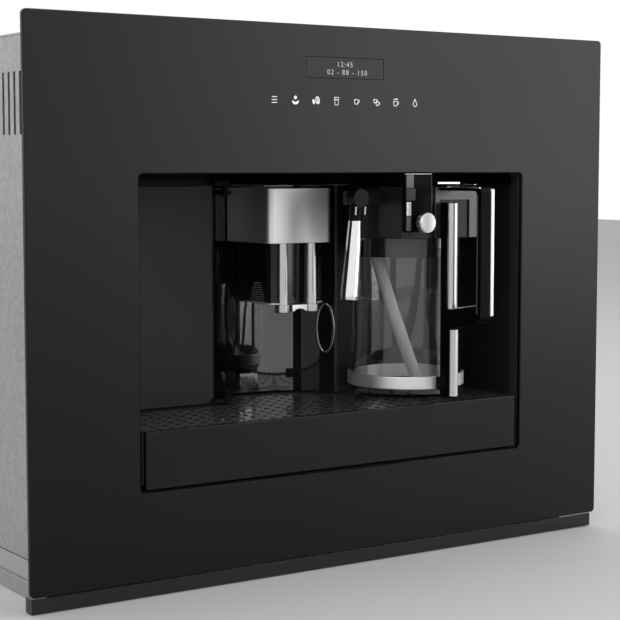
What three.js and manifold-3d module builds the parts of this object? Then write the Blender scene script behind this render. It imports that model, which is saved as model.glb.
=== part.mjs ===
// Built in coffee machine: glass front, cup niche, coffee spout on a swing door, drip tray, milk jug and
// the slide-out casing with the works behind it. Millimetres, +Z up, the front faces -Y.
import * as THREE from 'three';
import { mergeVertices } from 'three/addons/utils/BufferGeometryUtils.js';
import Module from 'manifold-3d';

const wasm = await Module();
wasm.setup();

// ---- Driving dimensions -------------------------------------------------------------------------------
const GAP = 0.3; // left between two pieces that rest on each other
const SHEET = 1.5; // casing and rail sheet
const WALL = 2.5; // moulded wall of the niche

const GLASS = { half: 297.5, bottom: 14, top: 469, front: -200, thick: 5, corner: 4, bevel: 0.8 };
const OPENING = { half: 200, bottom: 86, top: 344, corner: 4 };
const DISPLAY = { half: 40.5, bottom: 424.5, top: 442.5, corner: 1 };
const FRAME = { half: 290, bottom: 20, top: 463, front: -194.7, back: -184 };
const STOP = { inner: 281, outer: 289, bottom: 60, top: 420, proud: 1 };
const TRIM = { half: 295, bottom: 0.3, top: 12.5, front: -196, back: -184 };

const CASE = { half: 277.2, bottom: 16, shoulder: 33, top: 455, front: -183.7, back: 190 };
const RAIL = { front: -176, back: 164, bottom: 13.6, top: 30, step: 2.1, width: 35.5, lip: 9 };
const RAIL_OUTER = CASE.half - 3.7; // outer side of the fixed rail, inside the side sheet
const KEEL = RAIL_OUTER - RAIL.width; // half width of the pan between the rails

const NICHE = { half: 200, floor: 137, seam: 332.5, ceiling: 348, backWall: -90, corner: 30, front: -183.7 };
const RECESS = { y: -125, r: 75.5, fillet: 6 };
const DOOR = { from: -55.2, to: 29.9, edge: 35.6, thick: 3, bottom: 137.4, top: 332, hingeX: -56, hingeY: -92 };
const HINGE = { pin: 3, bore: 3.1, ear: 3.4, sides: 24 };

const BAND = { half: 34.3, front: -131, back: -58.8, bottom: 281.3, top: 330.4, thick: 1.5, corner: 6 };
const CARRIAGE = { half: 29.5, front: -126, back: -70, bottom: 226, top: 289, corner: 9 };
const TUBE = { x: 15.5, y: -122.9, r: 6, neck: 5.4, foot: 7.2, bore: 2.6, bottom: 218.7, top: 286 };
const RIBS = { front: -117, back: -95, bottom: 228, pitch: 2.1, count: 9, rise: 21, proud: 1.4 };

const BUTTON = { z: 197.5, halfWidth: 7.6, halfHeight: 22, travel: 3, angle: 54, proud: 1.2 };

const TRAY = { half: 196, rearHalf: 150, front: -193.9, back: 40, bottom: 92, top: 135, wall: 2.5 };
const BAR = { half: 195, front: -199, back: -194.3, bottom: 88.4, top: 136.3 };
const GRATE = { half: 191.5, front: -192.5, back: -99, lobe: 67, bottom: 132.9, top: 135 };
const GROUNDS = { half: 144, front: -45, back: 35, bottom: 95, top: 133.5, wall: 2 };
const BAY = { half: 203, front: -183.7, back: 46, bottom: 83.5, floor: 86, top: 136.7 };

const JUG = { x: 103.5, y: -150, r: 52, base: 46, bottom: 142, seam: 285.7, wall: 2.5 };
const RING = { r: 54, bottom: 150, top: 161.5 };
const LID = { r: 55, top: 333.8, plug: 48.6, plugBottom: 268.3, faceY: -206.2 };
const FASCIA = { left: 92, right: 139.5, bottom: 286.2, top: 331.7, front: -208, thick: 1.5, field: 320 };
const TOWER = { left: 56, right: 85.5, front: -211, back: -176, bottom: 292.5, top: 343.5 };
const KNOB = { x: 74.5, z: 300.5, r: 9, front: -221, shaft: 3 };
const HANDLE = { left: 97, right: 112.5, barFront: -266, barBack: -260.5, top: 332, strip: 3.5, bottom: 144 };
const POST = { right: 107.5, front: -222.5, back: -209.8, top: 318, round: 4 };
const MILK_TUBE = { r: 5.6, topX: 67, footX: 116, footZ: 154, bend: 272 };
const MILK = { x: 26, z: 322, front: -187, back: -175, head: 8, pin: 2.5, bore: 2.6, tube: 6 };

const TANK = { inner: 150, outer: 276.5, front: -38, back: 168, bottom: 145, top: 346, wall: 2.5, foot: 4 };
const BREW = { left: -58, right: 38, front: -38, back: 56, bottom: 192, top: 300, wall: 10 };
const HOPPER = { left: -120, right: 80, front: -10, back: 150, bottom: 382, top: 447, wall: 2.5 };

// ---- Finishes -------------------------------------------------------------------------------------------
const STEEL = { color: 0xb8b8b6, roughness: 0.35, metalness: 1 };
const CHROME = { color: 0xdcdcdc, roughness: 0.08, metalness: 1 };
const ZINC = { color: 0x9a9c9e, roughness: 0.45, metalness: 0.9 };
const BLACK_GLOSS = { color: 0x0b0b0c, roughness: 0.08, metalness: 0 };
const BLACK_GLASS = { color: 0x060607, roughness: 0.04, metalness: 0 };
const BLACK_MATT = { color: 0x17181a, roughness: 0.6, metalness: 0 };
const GREY_PLASTIC = { color: 0x6d7073, roughness: 0.5, metalness: 0 };
const RED_PLASTIC = { color: 0x8e2420, roughness: 0.45, metalness: 0 };
const GREEN_BOARD = { color: 0x1f4a33, roughness: 0.5, metalness: 0 };
const CLEAR = { color: 0xc9d2d4, roughness: 0.05, metalness: 0, transparent: true, opacity: 0.35 };
const SMOKE = { color: 0x55585a, roughness: 0.1, metalness: 0, transparent: true, opacity: 0.5 };

// ---- Shapes and solids ----------------------------------------------------------------------------------
const RAD = Math.PI / 180;
const FAR = 600; // runs a cutter right through the machine

// Signed volume of an indexed triangle list, used to turn a shell the right way out.
function signedVolume(points, index) {
  let sum = 0;
  const a = new THREE.Vector3();
  const b = new THREE.Vector3();
  const c = new THREE.Vector3();
  for (let i = 0; i < index.length; i += 3) {
    a.fromArray(points, index[i] * 3);
    b.fromArray(points, index[i + 1] * 3);
    c.fromArray(points, index[i + 2] * 3);
    sum += a.dot(b.cross(c));
  }
  return sum;
}

function welded(geometry, tolerance) {
  geometry.deleteAttribute('normal');
  geometry.deleteAttribute('uv');
  const joined = mergeVertices(geometry, tolerance);
  const source = joined.index.array;
  const kept = [];
  for (let i = 0; i < source.length; i += 3) {
    const [a, b, c] = [source[i], source[i + 1], source[i + 2]];
    if (a !== b && b !== c && c !== a) kept.push(a, b, c);
  }
  return { points: joined.attributes.position.array, index: kept };
}

function solid(geometry) {
  const { points, index } = welded(geometry, 1e-4);
  if (signedVolume(points, index) < 0) index.reverse();
  const vertProperties = new Float32Array(points);
  const triVerts = new Uint32Array(index);
  return new wasm.Manifold(new wasm.Mesh({ numProp: 3, vertProperties, triVerts }));
}

function box(x0, x1, y0, y1, z0, z1) {
  const geometry = new THREE.BoxGeometry(x1 - x0, y1 - y0, z1 - z0);
  geometry.translate((x0 + x1) / 2, (y0 + y1) / 2, (z0 + z1) / 2);
  return solid(geometry);
}

function rectangle(x0, x1, y0, y1, r) {
  const shape = new THREE.Shape();
  shape.moveTo(x0 + r, y0);
  shape.lineTo(x1 - r, y0);
  if (r > 0) shape.absarc(x1 - r, y0 + r, r, -90 * RAD, 0);
  shape.lineTo(x1, y1 - r);
  if (r > 0) shape.absarc(x1 - r, y1 - r, r, 0, 90 * RAD);
  shape.lineTo(x0 + r, y1);
  if (r > 0) shape.absarc(x0 + r, y1 - r, r, 90 * RAD, 180 * RAD);
  shape.lineTo(x0, y0 + r);
  if (r > 0) shape.absarc(x0 + r, y0 + r, r, 180 * RAD, 270 * RAD);
  shape.closePath();
  return shape;
}

function polygon(points) {
  return new THREE.Shape(points.map(([x, y]) => new THREE.Vector2(x, y)));
}

function extruded(shape, depth, segments) {
  return new THREE.ExtrudeGeometry(shape, { depth, bevelEnabled: false, curveSegments: segments });
}

// A plan outline (x, y) raised from z0 to z1.
function prismZ(shape, z0, z1, segments = 6) {
  return solid(extruded(shape, z1 - z0, segments).translate(0, 0, z0));
}

// A front outline (x, z) running from y0 to y1.
function prismY(shape, y0, y1, segments = 6) {
  return solid(extruded(shape, y1 - y0, segments).rotateX(Math.PI / 2).translate(0, y1, 0));
}

// A side outline (y, z) running from x0 to x1.
function prismX(shape, x0, x1, segments = 6) {
  const turn = new THREE.Matrix4().makeBasis(
    new THREE.Vector3(0, 1, 0),
    new THREE.Vector3(0, 0, 1),
    new THREE.Vector3(1, 0, 0),
  );
  return solid(extruded(shape, x1 - x0, segments).applyMatrix4(turn).translate(x0, 0, 0));
}

function rodX(y, z, x0, x1, r, sides = 20) {
  const geometry = new THREE.CylinderGeometry(r, r, x1 - x0, sides).rotateZ(Math.PI / 2);
  return solid(geometry.translate((x0 + x1) / 2, y, z));
}

function rodY(x, z, y0, y1, r, sides = 20) {
  const geometry = new THREE.CylinderGeometry(r, r, y1 - y0, sides);
  return solid(geometry.translate(x, (y0 + y1) / 2, z));
}

function rodZ(x, y, z0, z1, r, sides = 20) {
  const geometry = new THREE.CylinderGeometry(r, r, z1 - z0, sides).rotateX(Math.PI / 2);
  return solid(geometry.translate(x, y, (z0 + z1) / 2));
}

// A profile of [radius, z] pairs, closed or on the axis, turned about the upright axis at (x, y).
function turned(profile, x, y, sides = 32) {
  const points = profile.map(([r, z]) => new THREE.Vector2(r, z));
  return solid(new THREE.LatheGeometry(points, sides).rotateX(Math.PI / 2).translate(x, y, 0));
}

function tube(points, r, sides = 12, steps = 16) {
  const shape = new THREE.Shape();
  shape.absarc(0, 0, r, 0, Math.PI * 2);
  const path = new THREE.CatmullRomCurve3(points.map(([x, y, z]) => new THREE.Vector3(x, y, z)));
  const options = { steps, curveSegments: sides, extrudePath: path, bevelEnabled: false };
  return solid(new THREE.ExtrudeGeometry(shape, options));
}

function union(...bodies) {
  return bodies.reduce((sum, body) => sum.add(body));
}

function cut(body, ...cutters) {
  return cutters.reduce((rest, cutter) => rest.subtract(cutter), body);
}

// Points of an arc about (cx, cy), angles in degrees from +Y, positive towards +X.
function arc(cx, cy, r, from, to, steps) {
  const points = [];
  for (let i = 0; i <= steps; i += 1) {
    const angle = (from + ((to - from) * i) / steps) * RAD;
    points.push([cx + r * Math.sin(angle), cy + r * Math.cos(angle)]);
  }
  return points;
}

const machine = new THREE.Group();
machine.name = 'built_in_coffee_machine';

function piece(name, body, finish) {
  const raw = body.getMesh();
  const geometry = new THREE.BufferGeometry();
  geometry.setAttribute('position', new THREE.BufferAttribute(new Float32Array(raw.vertProperties), 3));
  geometry.setIndex(Array.from(raw.triVerts));
  const { points, index } = welded(geometry, 1e-3);
  const clean = new THREE.BufferGeometry();
  clean.setAttribute('position', new THREE.BufferAttribute(new Float32Array(points), 3));
  clean.setIndex(index);
  clean.computeVertexNormals();
  const mesh = new THREE.Mesh(clean, new THREE.MeshStandardMaterial({ ...finish, name }));
  mesh.name = name;
  machine.add(mesh);
}

// ---- Mounting base and telescopic rails -----------------------------------------------------------------
// A folded sheet with a raised ledge along each side; the rails stand on the ledges.
const ledge = { outer: RAIL_OUTER + 2.5, inner: KEEL - 6, top: RAIL.bottom - GAP, thick: 2 };
const baseOutline = polygon([
  [-ledge.outer, 0],
  [-ledge.outer + ledge.thick, 0],
  [-ledge.outer + ledge.thick, ledge.top - ledge.thick],
  [-ledge.inner - ledge.thick, ledge.top - ledge.thick],
  [-ledge.inner - ledge.thick, 0],
  [ledge.inner + ledge.thick, 0],
  [ledge.inner + ledge.thick, ledge.top - ledge.thick],
  [ledge.outer - ledge.thick, ledge.top - ledge.thick],
  [ledge.outer - ledge.thick, 0],
  [ledge.outer, 0],
  [ledge.outer, ledge.top],
  [ledge.inner, ledge.top],
  [ledge.inner, ledge.thick],
  [-ledge.inner, ledge.thick],
  [-ledge.inner, ledge.top],
  [-ledge.outer, ledge.top],
]);
let basePlate = prismY(baseOutline, TRIM.back + GAP, 170);
for (const y of [-120, 110]) {
  for (const x of [-180, 180]) {
    basePlate = basePlate.subtract(rodZ(x, y, -1, 4, 3, 10));
  }
}
for (const x of [-150, 50]) {
  basePlate = basePlate.subtract(prismZ(rectangle(x, x + 100, -110, 100, 12), -1, 4, 3));
}
piece('base_plate', basePlate, ZINC);

// Trim strip under the glass, a shallow channel with its open side to the back.
const trimStrip = cut(
  box(-TRIM.half, TRIM.half, TRIM.front, TRIM.back, TRIM.bottom, TRIM.top),
  box(-TRIM.half + 2, TRIM.half - 2, TRIM.front + 2, TRIM.back + 1, TRIM.bottom + 2, TRIM.top - 2),
);
piece('lower_trim', trimStrip, BLACK_GLOSS);

// A rail is a C section open towards the middle; side is -1 for the left rail and 1 for the right.
function railSection(side, outer, inner, z0, z1) {
  const block = [side * outer, side * inner].sort((a, b) => a - b);
  const core = [side * (outer - SHEET), side * (inner - 1)].sort((a, b) => a - b);
  return cut(
    box(block[0], block[1], RAIL.front, RAIL.back, z0, z1),
    box(core[0], core[1], -FAR, FAR, z0 + SHEET, z1 - SHEET),
  );
}
for (const [side, label] of [[-1, 'left'], [1, 'right']]) {
  const { bottom, top, step, lip } = RAIL;
  const outer = RAIL_OUTER;
  piece(`fixed_rail_${label}`, railSection(side, outer, KEEL + lip, bottom, top), STEEL);
  const mid = railSection(side, outer - step, KEEL + lip + 2, bottom + step, top - step);
  piece(`mid_rail_${label}`, mid, STEEL);
  const bar = railSection(side, outer - 2 * step, KEEL + GAP, bottom + 2 * step, top - 2 * step);
  piece(`inner_rail_${label}`, bar, STEEL);
}

// ---- Casing -----------------------------------------------------------------------------------------------
// Folded pan: a keel between the rails and a shoulder over each of them, with the side edges turned up.
const panLip = 12;
const panOutline = polygon([
  [-KEEL, CASE.bottom],
  [KEEL, CASE.bottom],
  [KEEL, CASE.shoulder],
  [CASE.half - SHEET - GAP, CASE.shoulder],
  [CASE.half - SHEET - GAP, CASE.shoulder + panLip],
  [CASE.half - 2 * SHEET - GAP, CASE.shoulder + panLip],
  [CASE.half - 2 * SHEET - GAP, CASE.shoulder + SHEET],
  [KEEL - SHEET, CASE.shoulder + SHEET],
  [KEEL - SHEET, CASE.bottom + SHEET],
  [-KEEL + SHEET, CASE.bottom + SHEET],
  [-KEEL + SHEET, CASE.shoulder + SHEET],
  [-CASE.half + 2 * SHEET + GAP, CASE.shoulder + SHEET],
  [-CASE.half + 2 * SHEET + GAP, CASE.shoulder + panLip],
  [-CASE.half + SHEET + GAP, CASE.shoulder + panLip],
  [-CASE.half + SHEET + GAP, CASE.shoulder],
  [-KEEL, CASE.shoulder],
]);
let chassisPan = prismY(panOutline, CASE.front, CASE.back - SHEET - GAP);
for (let row = 0; row < 5; row += 1) {
  const y = 40 + row * 22;
  chassisPan = chassisPan.subtract(prismZ(rectangle(-60, 60, y, y + 6, 0), CASE.bottom - 1, CASE.bottom + 3));
}
piece('chassis_pan', chassisPan, ZINC);

// Side sheets with a field of cooling slots; the right one has the opening for the water tank.
function sideSheet(side) {
  const x = [side * CASE.half, side * (CASE.half - SHEET)].sort((a, b) => a - b);
  let sheet = box(x[0], x[1], CASE.front, CASE.back - SHEET - GAP, CASE.shoulder, CASE.top - SHEET - GAP);
  for (let i = 0; i < 9; i += 1) {
    const y = -150 + i * 11;
    sheet = sheet.subtract(box(x[0] - 1, x[1] + 1, y, y + 4, 375, 425));
  }
  return sheet;
}
piece('side_cover_left', sideSheet(-1), ZINC);
const tankDoorway = box(CASE.half - 10, CASE.half + 10, TANK.front - 3, TANK.back + 3, TANK.bottom - 4, TANK.top + 12);
piece('side_cover_right', sideSheet(1).subtract(tankDoorway), ZINC);

// Rear sheet: cooling slots, cut-outs for the mains inlet and its switch.
const INLET = { x: -190, z: 70, halfWidth: 14, halfHeight: 10.5 };
const SWITCH = { x: -190, z: 110, halfWidth: 7, halfHeight: 11 };
let rearSheet = box(-CASE.half, CASE.half, CASE.back - SHEET, CASE.back, CASE.shoulder, CASE.top);
for (let i = 0; i < 12; i += 1) {
  const x = -110 + i * 20;
  rearSheet = rearSheet.subtract(box(x, x + 9, CASE.back - 3, CASE.back + 1, 350, 420));
}
for (const port of [INLET, SWITCH]) {
  const outline = rectangle(
    port.x - port.halfWidth - GAP,
    port.x + port.halfWidth + GAP,
    port.z - port.halfHeight - GAP,
    port.z + port.halfHeight + GAP,
    0,
  );
  rearSheet = rearSheet.subtract(prismY(outline, CASE.back - 3, CASE.back + 1));
}
piece('rear_cover', rearSheet, ZINC);

// Top sheet with the bean and powder openings; the powder chute hangs under its opening.
const BEAN_DOOR = { left: -112, right: 32, front: 0, back: 138 };
const POWDER_DOOR = { left: 96, right: 136, front: 6, back: 48 };
const DIAL = { x: 112, y: 100, r: 15, shaft: 4 };
const FLAP = { thick: 2.6, clearance: 0.6, pivotUp: 2.2, pivotBack: 3, knuckle: 2, length: 7 };
const topZ = CASE.top;

function flapPivot(door) {
  return { y: door.back + FLAP.pivotBack, z: topZ + FLAP.pivotUp };
}

// Knuckles on the pivot line, with a leaf that reaches along Y from the pivot.
function knuckles(door, shift, reach, leafBottom) {
  const pivot = flapPivot(door);
  const parts = [];
  for (const x of [door.left + 4, door.right - 4 - 2 * FLAP.length - GAP]) {
    const start = x + shift;
    const leaf = [pivot.y, pivot.y + reach].sort((a, b) => a - b);
    parts.push(rodX(pivot.y, pivot.z, start, start + FLAP.length, FLAP.knuckle, 12));
    parts.push(box(start, start + FLAP.length, leaf[0], leaf[1], leafBottom, topZ + FLAP.pivotUp));
  }
  return union(...parts);
}

let topSheet = box(-CASE.half, CASE.half, CASE.front, CASE.back - SHEET - GAP, topZ - SHEET, topZ);
for (const door of [BEAN_DOOR, POWDER_DOOR]) {
  const hole = box(door.left, door.right, door.front, door.back, topZ - 5, topZ + 5);
  topSheet = topSheet.subtract(hole).add(knuckles(door, FLAP.length + GAP, 9, topZ - 0.5));
}
const chute = cut(
  box(POWDER_DOOR.left - 2, POWDER_DOOR.right + 2, POWDER_DOOR.front - 2, POWDER_DOOR.back + 2, 400, topZ - 1),
  box(POWDER_DOOR.left, POWDER_DOOR.right, POWDER_DOOR.front, POWDER_DOOR.back, 390, topZ + 1),
);
topSheet = topSheet.add(chute).subtract(rodZ(DIAL.x, DIAL.y, topZ - 5, topZ + 5, DIAL.shaft + 0.5, 16));
piece('top_cover', topSheet, ZINC);

function flap(door) {
  const c = FLAP.clearance;
  const leaf = box(door.left + c, door.right - c, door.front + c, door.back - c, topZ - FLAP.thick, topZ);
  const tab = box(door.left + 14, door.right - 14, door.front + 4, door.front + 9, topZ - 0.5, topZ + 3);
  const risers = [door.left + 4, door.right - 4 - 2 * FLAP.length - GAP].map((x) =>
    box(x, x + FLAP.length, door.back - 9, door.back - c, topZ - 0.5, topZ + FLAP.pivotUp),
  );
  return union(leaf, tab, ...risers, knuckles(door, 0, -12, topZ + GAP));
}
piece('hopper_lid', flap(BEAN_DOOR), SMOKE);
piece('powder_flap', flap(POWDER_DOOR), BLACK_MATT);

// Outline of a dial or knob with shallow flutes round it.
function fluted(r, depth, count) {
  const points = [];
  for (let i = 0; i < count * 2; i += 1) {
    const radius = i % 2 === 0 ? r : r - depth;
    const angle = (i / (count * 2)) * Math.PI * 2;
    points.push([radius * Math.cos(angle), radius * Math.sin(angle)]);
  }
  return polygon(points);
}
const dial = union(
  solid(extruded(fluted(DIAL.r, 1, 20), 8, 1).translate(DIAL.x, DIAL.y, topZ + GAP)),
  rodZ(DIAL.x, DIAL.y, topZ - 18, topZ + 1, DIAL.shaft, 16),
  box(DIAL.x - 1.2, DIAL.x + 1.2, DIAL.y - DIAL.r + 2, DIAL.y - 3, topZ + 8, topZ + 9.6),
);
piece('grind_knob', dial, BLACK_MATT);

// ---- Front ------------------------------------------------------------------------------------------------
const BOARD = { half: 57, bottom: 399, top: 450, front: -192.4, back: -190.4 };

// Bevelled glass panel with the niche opening and the display window cut out.
function bevelledPanel(shape, y0, y1, bevel) {
  const geometry = new THREE.ExtrudeGeometry(shape, {
    depth: y1 - y0 - 2 * bevel,
    bevelEnabled: true,
    bevelThickness: bevel,
    bevelSize: bevel,
    bevelOffset: -bevel,
    bevelSegments: 1,
    curveSegments: 5,
  });
  return solid(geometry.rotateX(Math.PI / 2).translate(0, y1 - bevel, 0));
}
const glassShape = rectangle(-GLASS.half, GLASS.half, GLASS.bottom, GLASS.top, GLASS.corner);
glassShape.holes.push(rectangle(-OPENING.half, OPENING.half, OPENING.bottom, OPENING.top, OPENING.corner));
let glass = bevelledPanel(glassShape, GLASS.front, GLASS.front + GLASS.thick, GLASS.bevel);
const displayHole = rectangle(-DISPLAY.half, DISPLAY.half, DISPLAY.bottom, DISPLAY.top, DISPLAY.corner);
glass = glass.subtract(prismY(displayHole, GLASS.front - 1, GLASS.front + GLASS.thick + 1, 2));
piece('glass_front', glass, BLACK_GLASS);

const windowShape = rectangle(
  -DISPLAY.half + GAP,
  DISPLAY.half - GAP,
  DISPLAY.bottom + GAP,
  DISPLAY.top - GAP,
  DISPLAY.corner,
);
piece('display_window', prismY(windowShape, GLASS.front + 0.2, GLASS.front + GLASS.thick, 2), SMOKE);

// Frame behind the glass; the two raised strips on its back rest on the edges of the cabinet.
let frontFrame = prismY(rectangle(-FRAME.half, FRAME.half, FRAME.bottom, FRAME.top, 3), FRAME.front, FRAME.back, 3);
const frameHole = rectangle(-OPENING.half, OPENING.half, OPENING.bottom, OPENING.top, OPENING.corner);
frontFrame = cut(
  frontFrame,
  prismY(frameHole, FRAME.front - 1, FRAME.back + 1, 5),
  box(
    -BOARD.half - GAP,
    BOARD.half + GAP,
    FRAME.front - 1,
    FRAME.back + 1,
    BOARD.bottom - GAP,
    BOARD.top + GAP,
  ),
);
for (const x of [-STOP.outer, STOP.inner]) {
  const width = STOP.outer - STOP.inner;
  frontFrame = frontFrame.add(box(x, x + width, FRAME.back - 1, FRAME.back + STOP.proud, STOP.bottom, STOP.top));
}
piece('front_frame', frontFrame, BLACK_MATT);

const board = union(
  box(-BOARD.half, BOARD.half, BOARD.front, BOARD.back, BOARD.bottom, BOARD.top),
  box(-30, 30, BOARD.front - 1.4, BOARD.front + 0.5, 427, 440),
  box(-50, -34, BOARD.back - 0.5, BOARD.back + 6, 402, 409),
  box(12, 34, BOARD.back - 0.5, BOARD.back + 3, 415, 437),
);
piece('control_board', board, GREEN_BOARD);

// ---- Niche --------------------------------------------------------------------------------------------------
// Plan path of the inner niche wall on the right side, from the front edge to a place on the recess arc.
function nicheHalf(offset, fillet, endAngle) {
  const rise = NICHE.backWall + fillet - RECESS.y;
  const centreX = Math.sqrt((RECESS.r + fillet) ** 2 - rise ** 2);
  const tangent = Math.atan2(centreX, rise) / RAD;
  const steps = Math.max(1, Math.round((tangent - endAngle) / 6));
  return [
    [NICHE.half + offset, NICHE.front],
    ...arc(NICHE.half - NICHE.corner, NICHE.backWall - NICHE.corner, NICHE.corner + offset, 90, 0, 7),
    ...arc(centreX, NICHE.backWall + fillet, fillet - offset, 180, 180 + tangent, 4),
    ...arc(0, RECESS.y, RECESS.r + offset, tangent, endAngle, steps).slice(1),
  ];
}

function mirrored(points) {
  return points.map(([x, y]) => [-x, y]);
}

function wallOutline(side, fillet, endAngle) {
  const inner = nicheHalf(0, fillet, endAngle);
  const outer = nicheHalf(WALL, fillet, endAngle);
  const loop = [...inner, ...outer.reverse()];
  return polygon(side < 0 ? mirrored(loop) : loop);
}

const wallTop = NICHE.seam - GAP;
const bracketZ = { bottom: NICHE.floor, top: 140.9, pinTop: 148 };

// The left wall carries the lower door pin on a small bracket.
const lowerBracket = union(
  box(-69, DOOR.hingeX, DOOR.hingeY - 3.5, DOOR.hingeY + 3.5, bracketZ.bottom, bracketZ.top),
  rodZ(DOOR.hingeX, DOOR.hingeY, bracketZ.bottom, bracketZ.top, 5, HINGE.sides),
  rodZ(DOOR.hingeX, DOOR.hingeY, bracketZ.top - 1, bracketZ.pinTop, HINGE.pin, HINGE.sides),
);
const leftWall = prismZ(wallOutline(-1, RECESS.fillet, 56.4), NICHE.floor, wallTop);
piece('liner_left', leftWall.add(lowerBracket), BLACK_GLOSS);

// Places a shape (u across, v up) on the recess wall; n runs out of the wall towards the recess centre.
function onFlank(shape, n0, n1, segments = 10) {
  const angle = BUTTON.angle * RAD;
  const u = new THREE.Vector3(-Math.cos(angle), Math.sin(angle), 0);
  const v = new THREE.Vector3(0, 0, 1);
  const n = new THREE.Vector3(-Math.sin(angle), -Math.cos(angle), 0);
  const place = new THREE.Matrix4().makeBasis(u, v, n.clone());
  place.setPosition(
    RECESS.r * Math.sin(angle) + n.x * n0,
    RECESS.y + RECESS.r * Math.cos(angle) + n.y * n0,
    BUTTON.z,
  );
  return solid(extruded(shape, n1 - n0, segments).applyMatrix4(place));
}

function ellipse(halfWidth, halfHeight) {
  const shape = new THREE.Shape();
  shape.absellipse(0, 0, halfWidth, halfHeight, 0, Math.PI * 2, false, 0);
  return shape;
}

const NOZZLE = { x: 118, z: 312, r: 7, front: -104, flange: 11 };
const rim = { halfWidth: BUTTON.halfWidth + 1.9, halfHeight: BUTTON.halfHeight + 1.9 };
let rightWall = prismZ(wallOutline(1, RECESS.fillet, DOOR.edge), NICHE.floor, wallTop);
rightWall = cut(
  rightWall,
  onFlank(ellipse(rim.halfWidth + GAP, rim.halfHeight + GAP), -8, 8),
  rodY(NOZZLE.x, NOZZLE.z, NICHE.backWall - 5, NICHE.backWall + 10, NOZZLE.r + GAP),
);
piece('liner_right', rightWall, BLACK_GLOSS);

const bezelRing = cut(
  onFlank(ellipse(rim.halfWidth, rim.halfHeight), -3, BUTTON.proud + 1),
  onFlank(ellipse(rim.halfWidth - 1.6, rim.halfHeight - 1.6), -5, BUTTON.proud + 3),
);
piece('door_button_bezel', bezelRing, CHROME);
const buttonBody = union(
  onFlank(ellipse(BUTTON.halfWidth, BUTTON.halfHeight), -4, BUTTON.proud),
  onFlank(ellipse(4, 6), -9, -3),
);
piece('door_button', buttonBody, BLACK_GLOSS);

// Header ring and ceiling plate above the seam, with the upper door pin.
const HEADER_FILLET = 20;
const headerInner = nicheHalf(0, HEADER_FILLET, 0);
const headerOuter = nicheHalf(WALL, HEADER_FILLET, 0);
const headerOutline = polygon([...headerOuter, ...mirrored(headerOuter).reverse().slice(1)]);
const headerHollow = polygon([
  [NICHE.half, NICHE.front - 5],
  ...headerInner,
  ...mirrored(headerInner).reverse().slice(1),
  [-NICHE.half, NICHE.front - 5],
]);
const header = union(
  cut(
    prismZ(headerOutline, NICHE.seam + GAP, NICHE.ceiling + WALL),
    prismZ(headerHollow, NICHE.seam - 1, NICHE.ceiling),
  ),
  box(-69, DOOR.hingeX, DOOR.hingeY - 3.5, DOOR.hingeY + 3.5, NICHE.seam + GAP, 337),
  box(-69, -64, DOOR.hingeY - 3.5, -82, NICHE.seam + GAP, 337),
  rodZ(DOOR.hingeX, DOOR.hingeY, NICHE.seam + GAP, 337, 5, HINGE.sides),
  rodZ(DOOR.hingeX, DOOR.hingeY, 323, 334, HINGE.pin, HINGE.sides),
);
piece('niche_ceiling', header, BLACK_GLOSS);

// Channel for the drip tray, with the seat for the water tank at its right side.
const SEAT = { outer: TANK.outer - 8.5, top: TANK.bottom - TANK.foot - GAP, thick: 2.5 };
const bay = union(
  cut(
    box(-BAY.half, BAY.half, BAY.front, BAY.back, BAY.bottom, BAY.top),
    box(-BAY.half + WALL, BAY.half - WALL, BAY.front - 5, BAY.back - WALL, BAY.floor, BAY.top + 5),
  ),
  box(BAY.half - WALL, BAY.half, TANK.front, BAY.back, BAY.top - 1, SEAT.top),
  box(BAY.half - WALL, SEAT.outer, TANK.front, TANK.back, SEAT.top - SEAT.thick, SEAT.top),
  box(SEAT.outer - 6, SEAT.outer - 3, TANK.front + 5, TANK.back - 5, CASE.shoulder + SHEET + GAP, SEAT.top - 0.7),
);
piece('tray_bay', bay, BLACK_MATT);

const nozzle = cut(
  union(
    rodY(NOZZLE.x, NOZZLE.z, NOZZLE.front, -70, NOZZLE.r),
    rodY(NOZZLE.x, NOZZLE.z, NICHE.backWall + WALL + GAP, -80, NOZZLE.flange),
  ),
  rodY(NOZZLE.x, NOZZLE.z, NOZZLE.front - 5, -60, 2.2, 12),
);
piece('steam_nozzle', nozzle, BLACK_MATT);

// ---- Service door with the coffee spout ---------------------------------------------------------------------
const doorOuterR = RECESS.r + DOOR.thick;
const doorShell = polygon([
  ...arc(0, RECESS.y, RECESS.r, DOOR.from, DOOR.to, 16),
  ...arc(0, RECESS.y, doorOuterR, DOOR.to, DOOR.from, 16),
]);
function doorEar(z0, z1) {
  const bar = box(DOOR.hingeX - 4.5, DOOR.hingeX + 5.5, DOOR.hingeY, RECESS.y + doorOuterR, z0, z1);
  const eye = rodZ(DOOR.hingeX, DOOR.hingeY, z0, z1, 5.5, HINGE.sides);
  const inside = rodZ(0, RECESS.y, z0 - 1, z1 + 1, RECESS.r + 1, 96);
  return union(bar, eye).intersect(inside);
}
let door = union(
  prismZ(doorShell, DOOR.bottom, DOOR.top),
  doorEar(bracketZ.top + GAP, bracketZ.top + GAP + HINGE.ear),
  doorEar(325, 325 + HINGE.ear),
  prismZ(polygon([[37.2, -64], [39.1, -57.6], [33, -53.4], [30.6, -59]]), 150, 158),
);
door = door.subtract(rodZ(DOOR.hingeX, DOOR.hingeY, DOOR.bottom - 5, DOOR.top + 5, HINGE.bore, HINGE.sides));
piece('service_door', door, BLACK_GLOSS);

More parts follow.
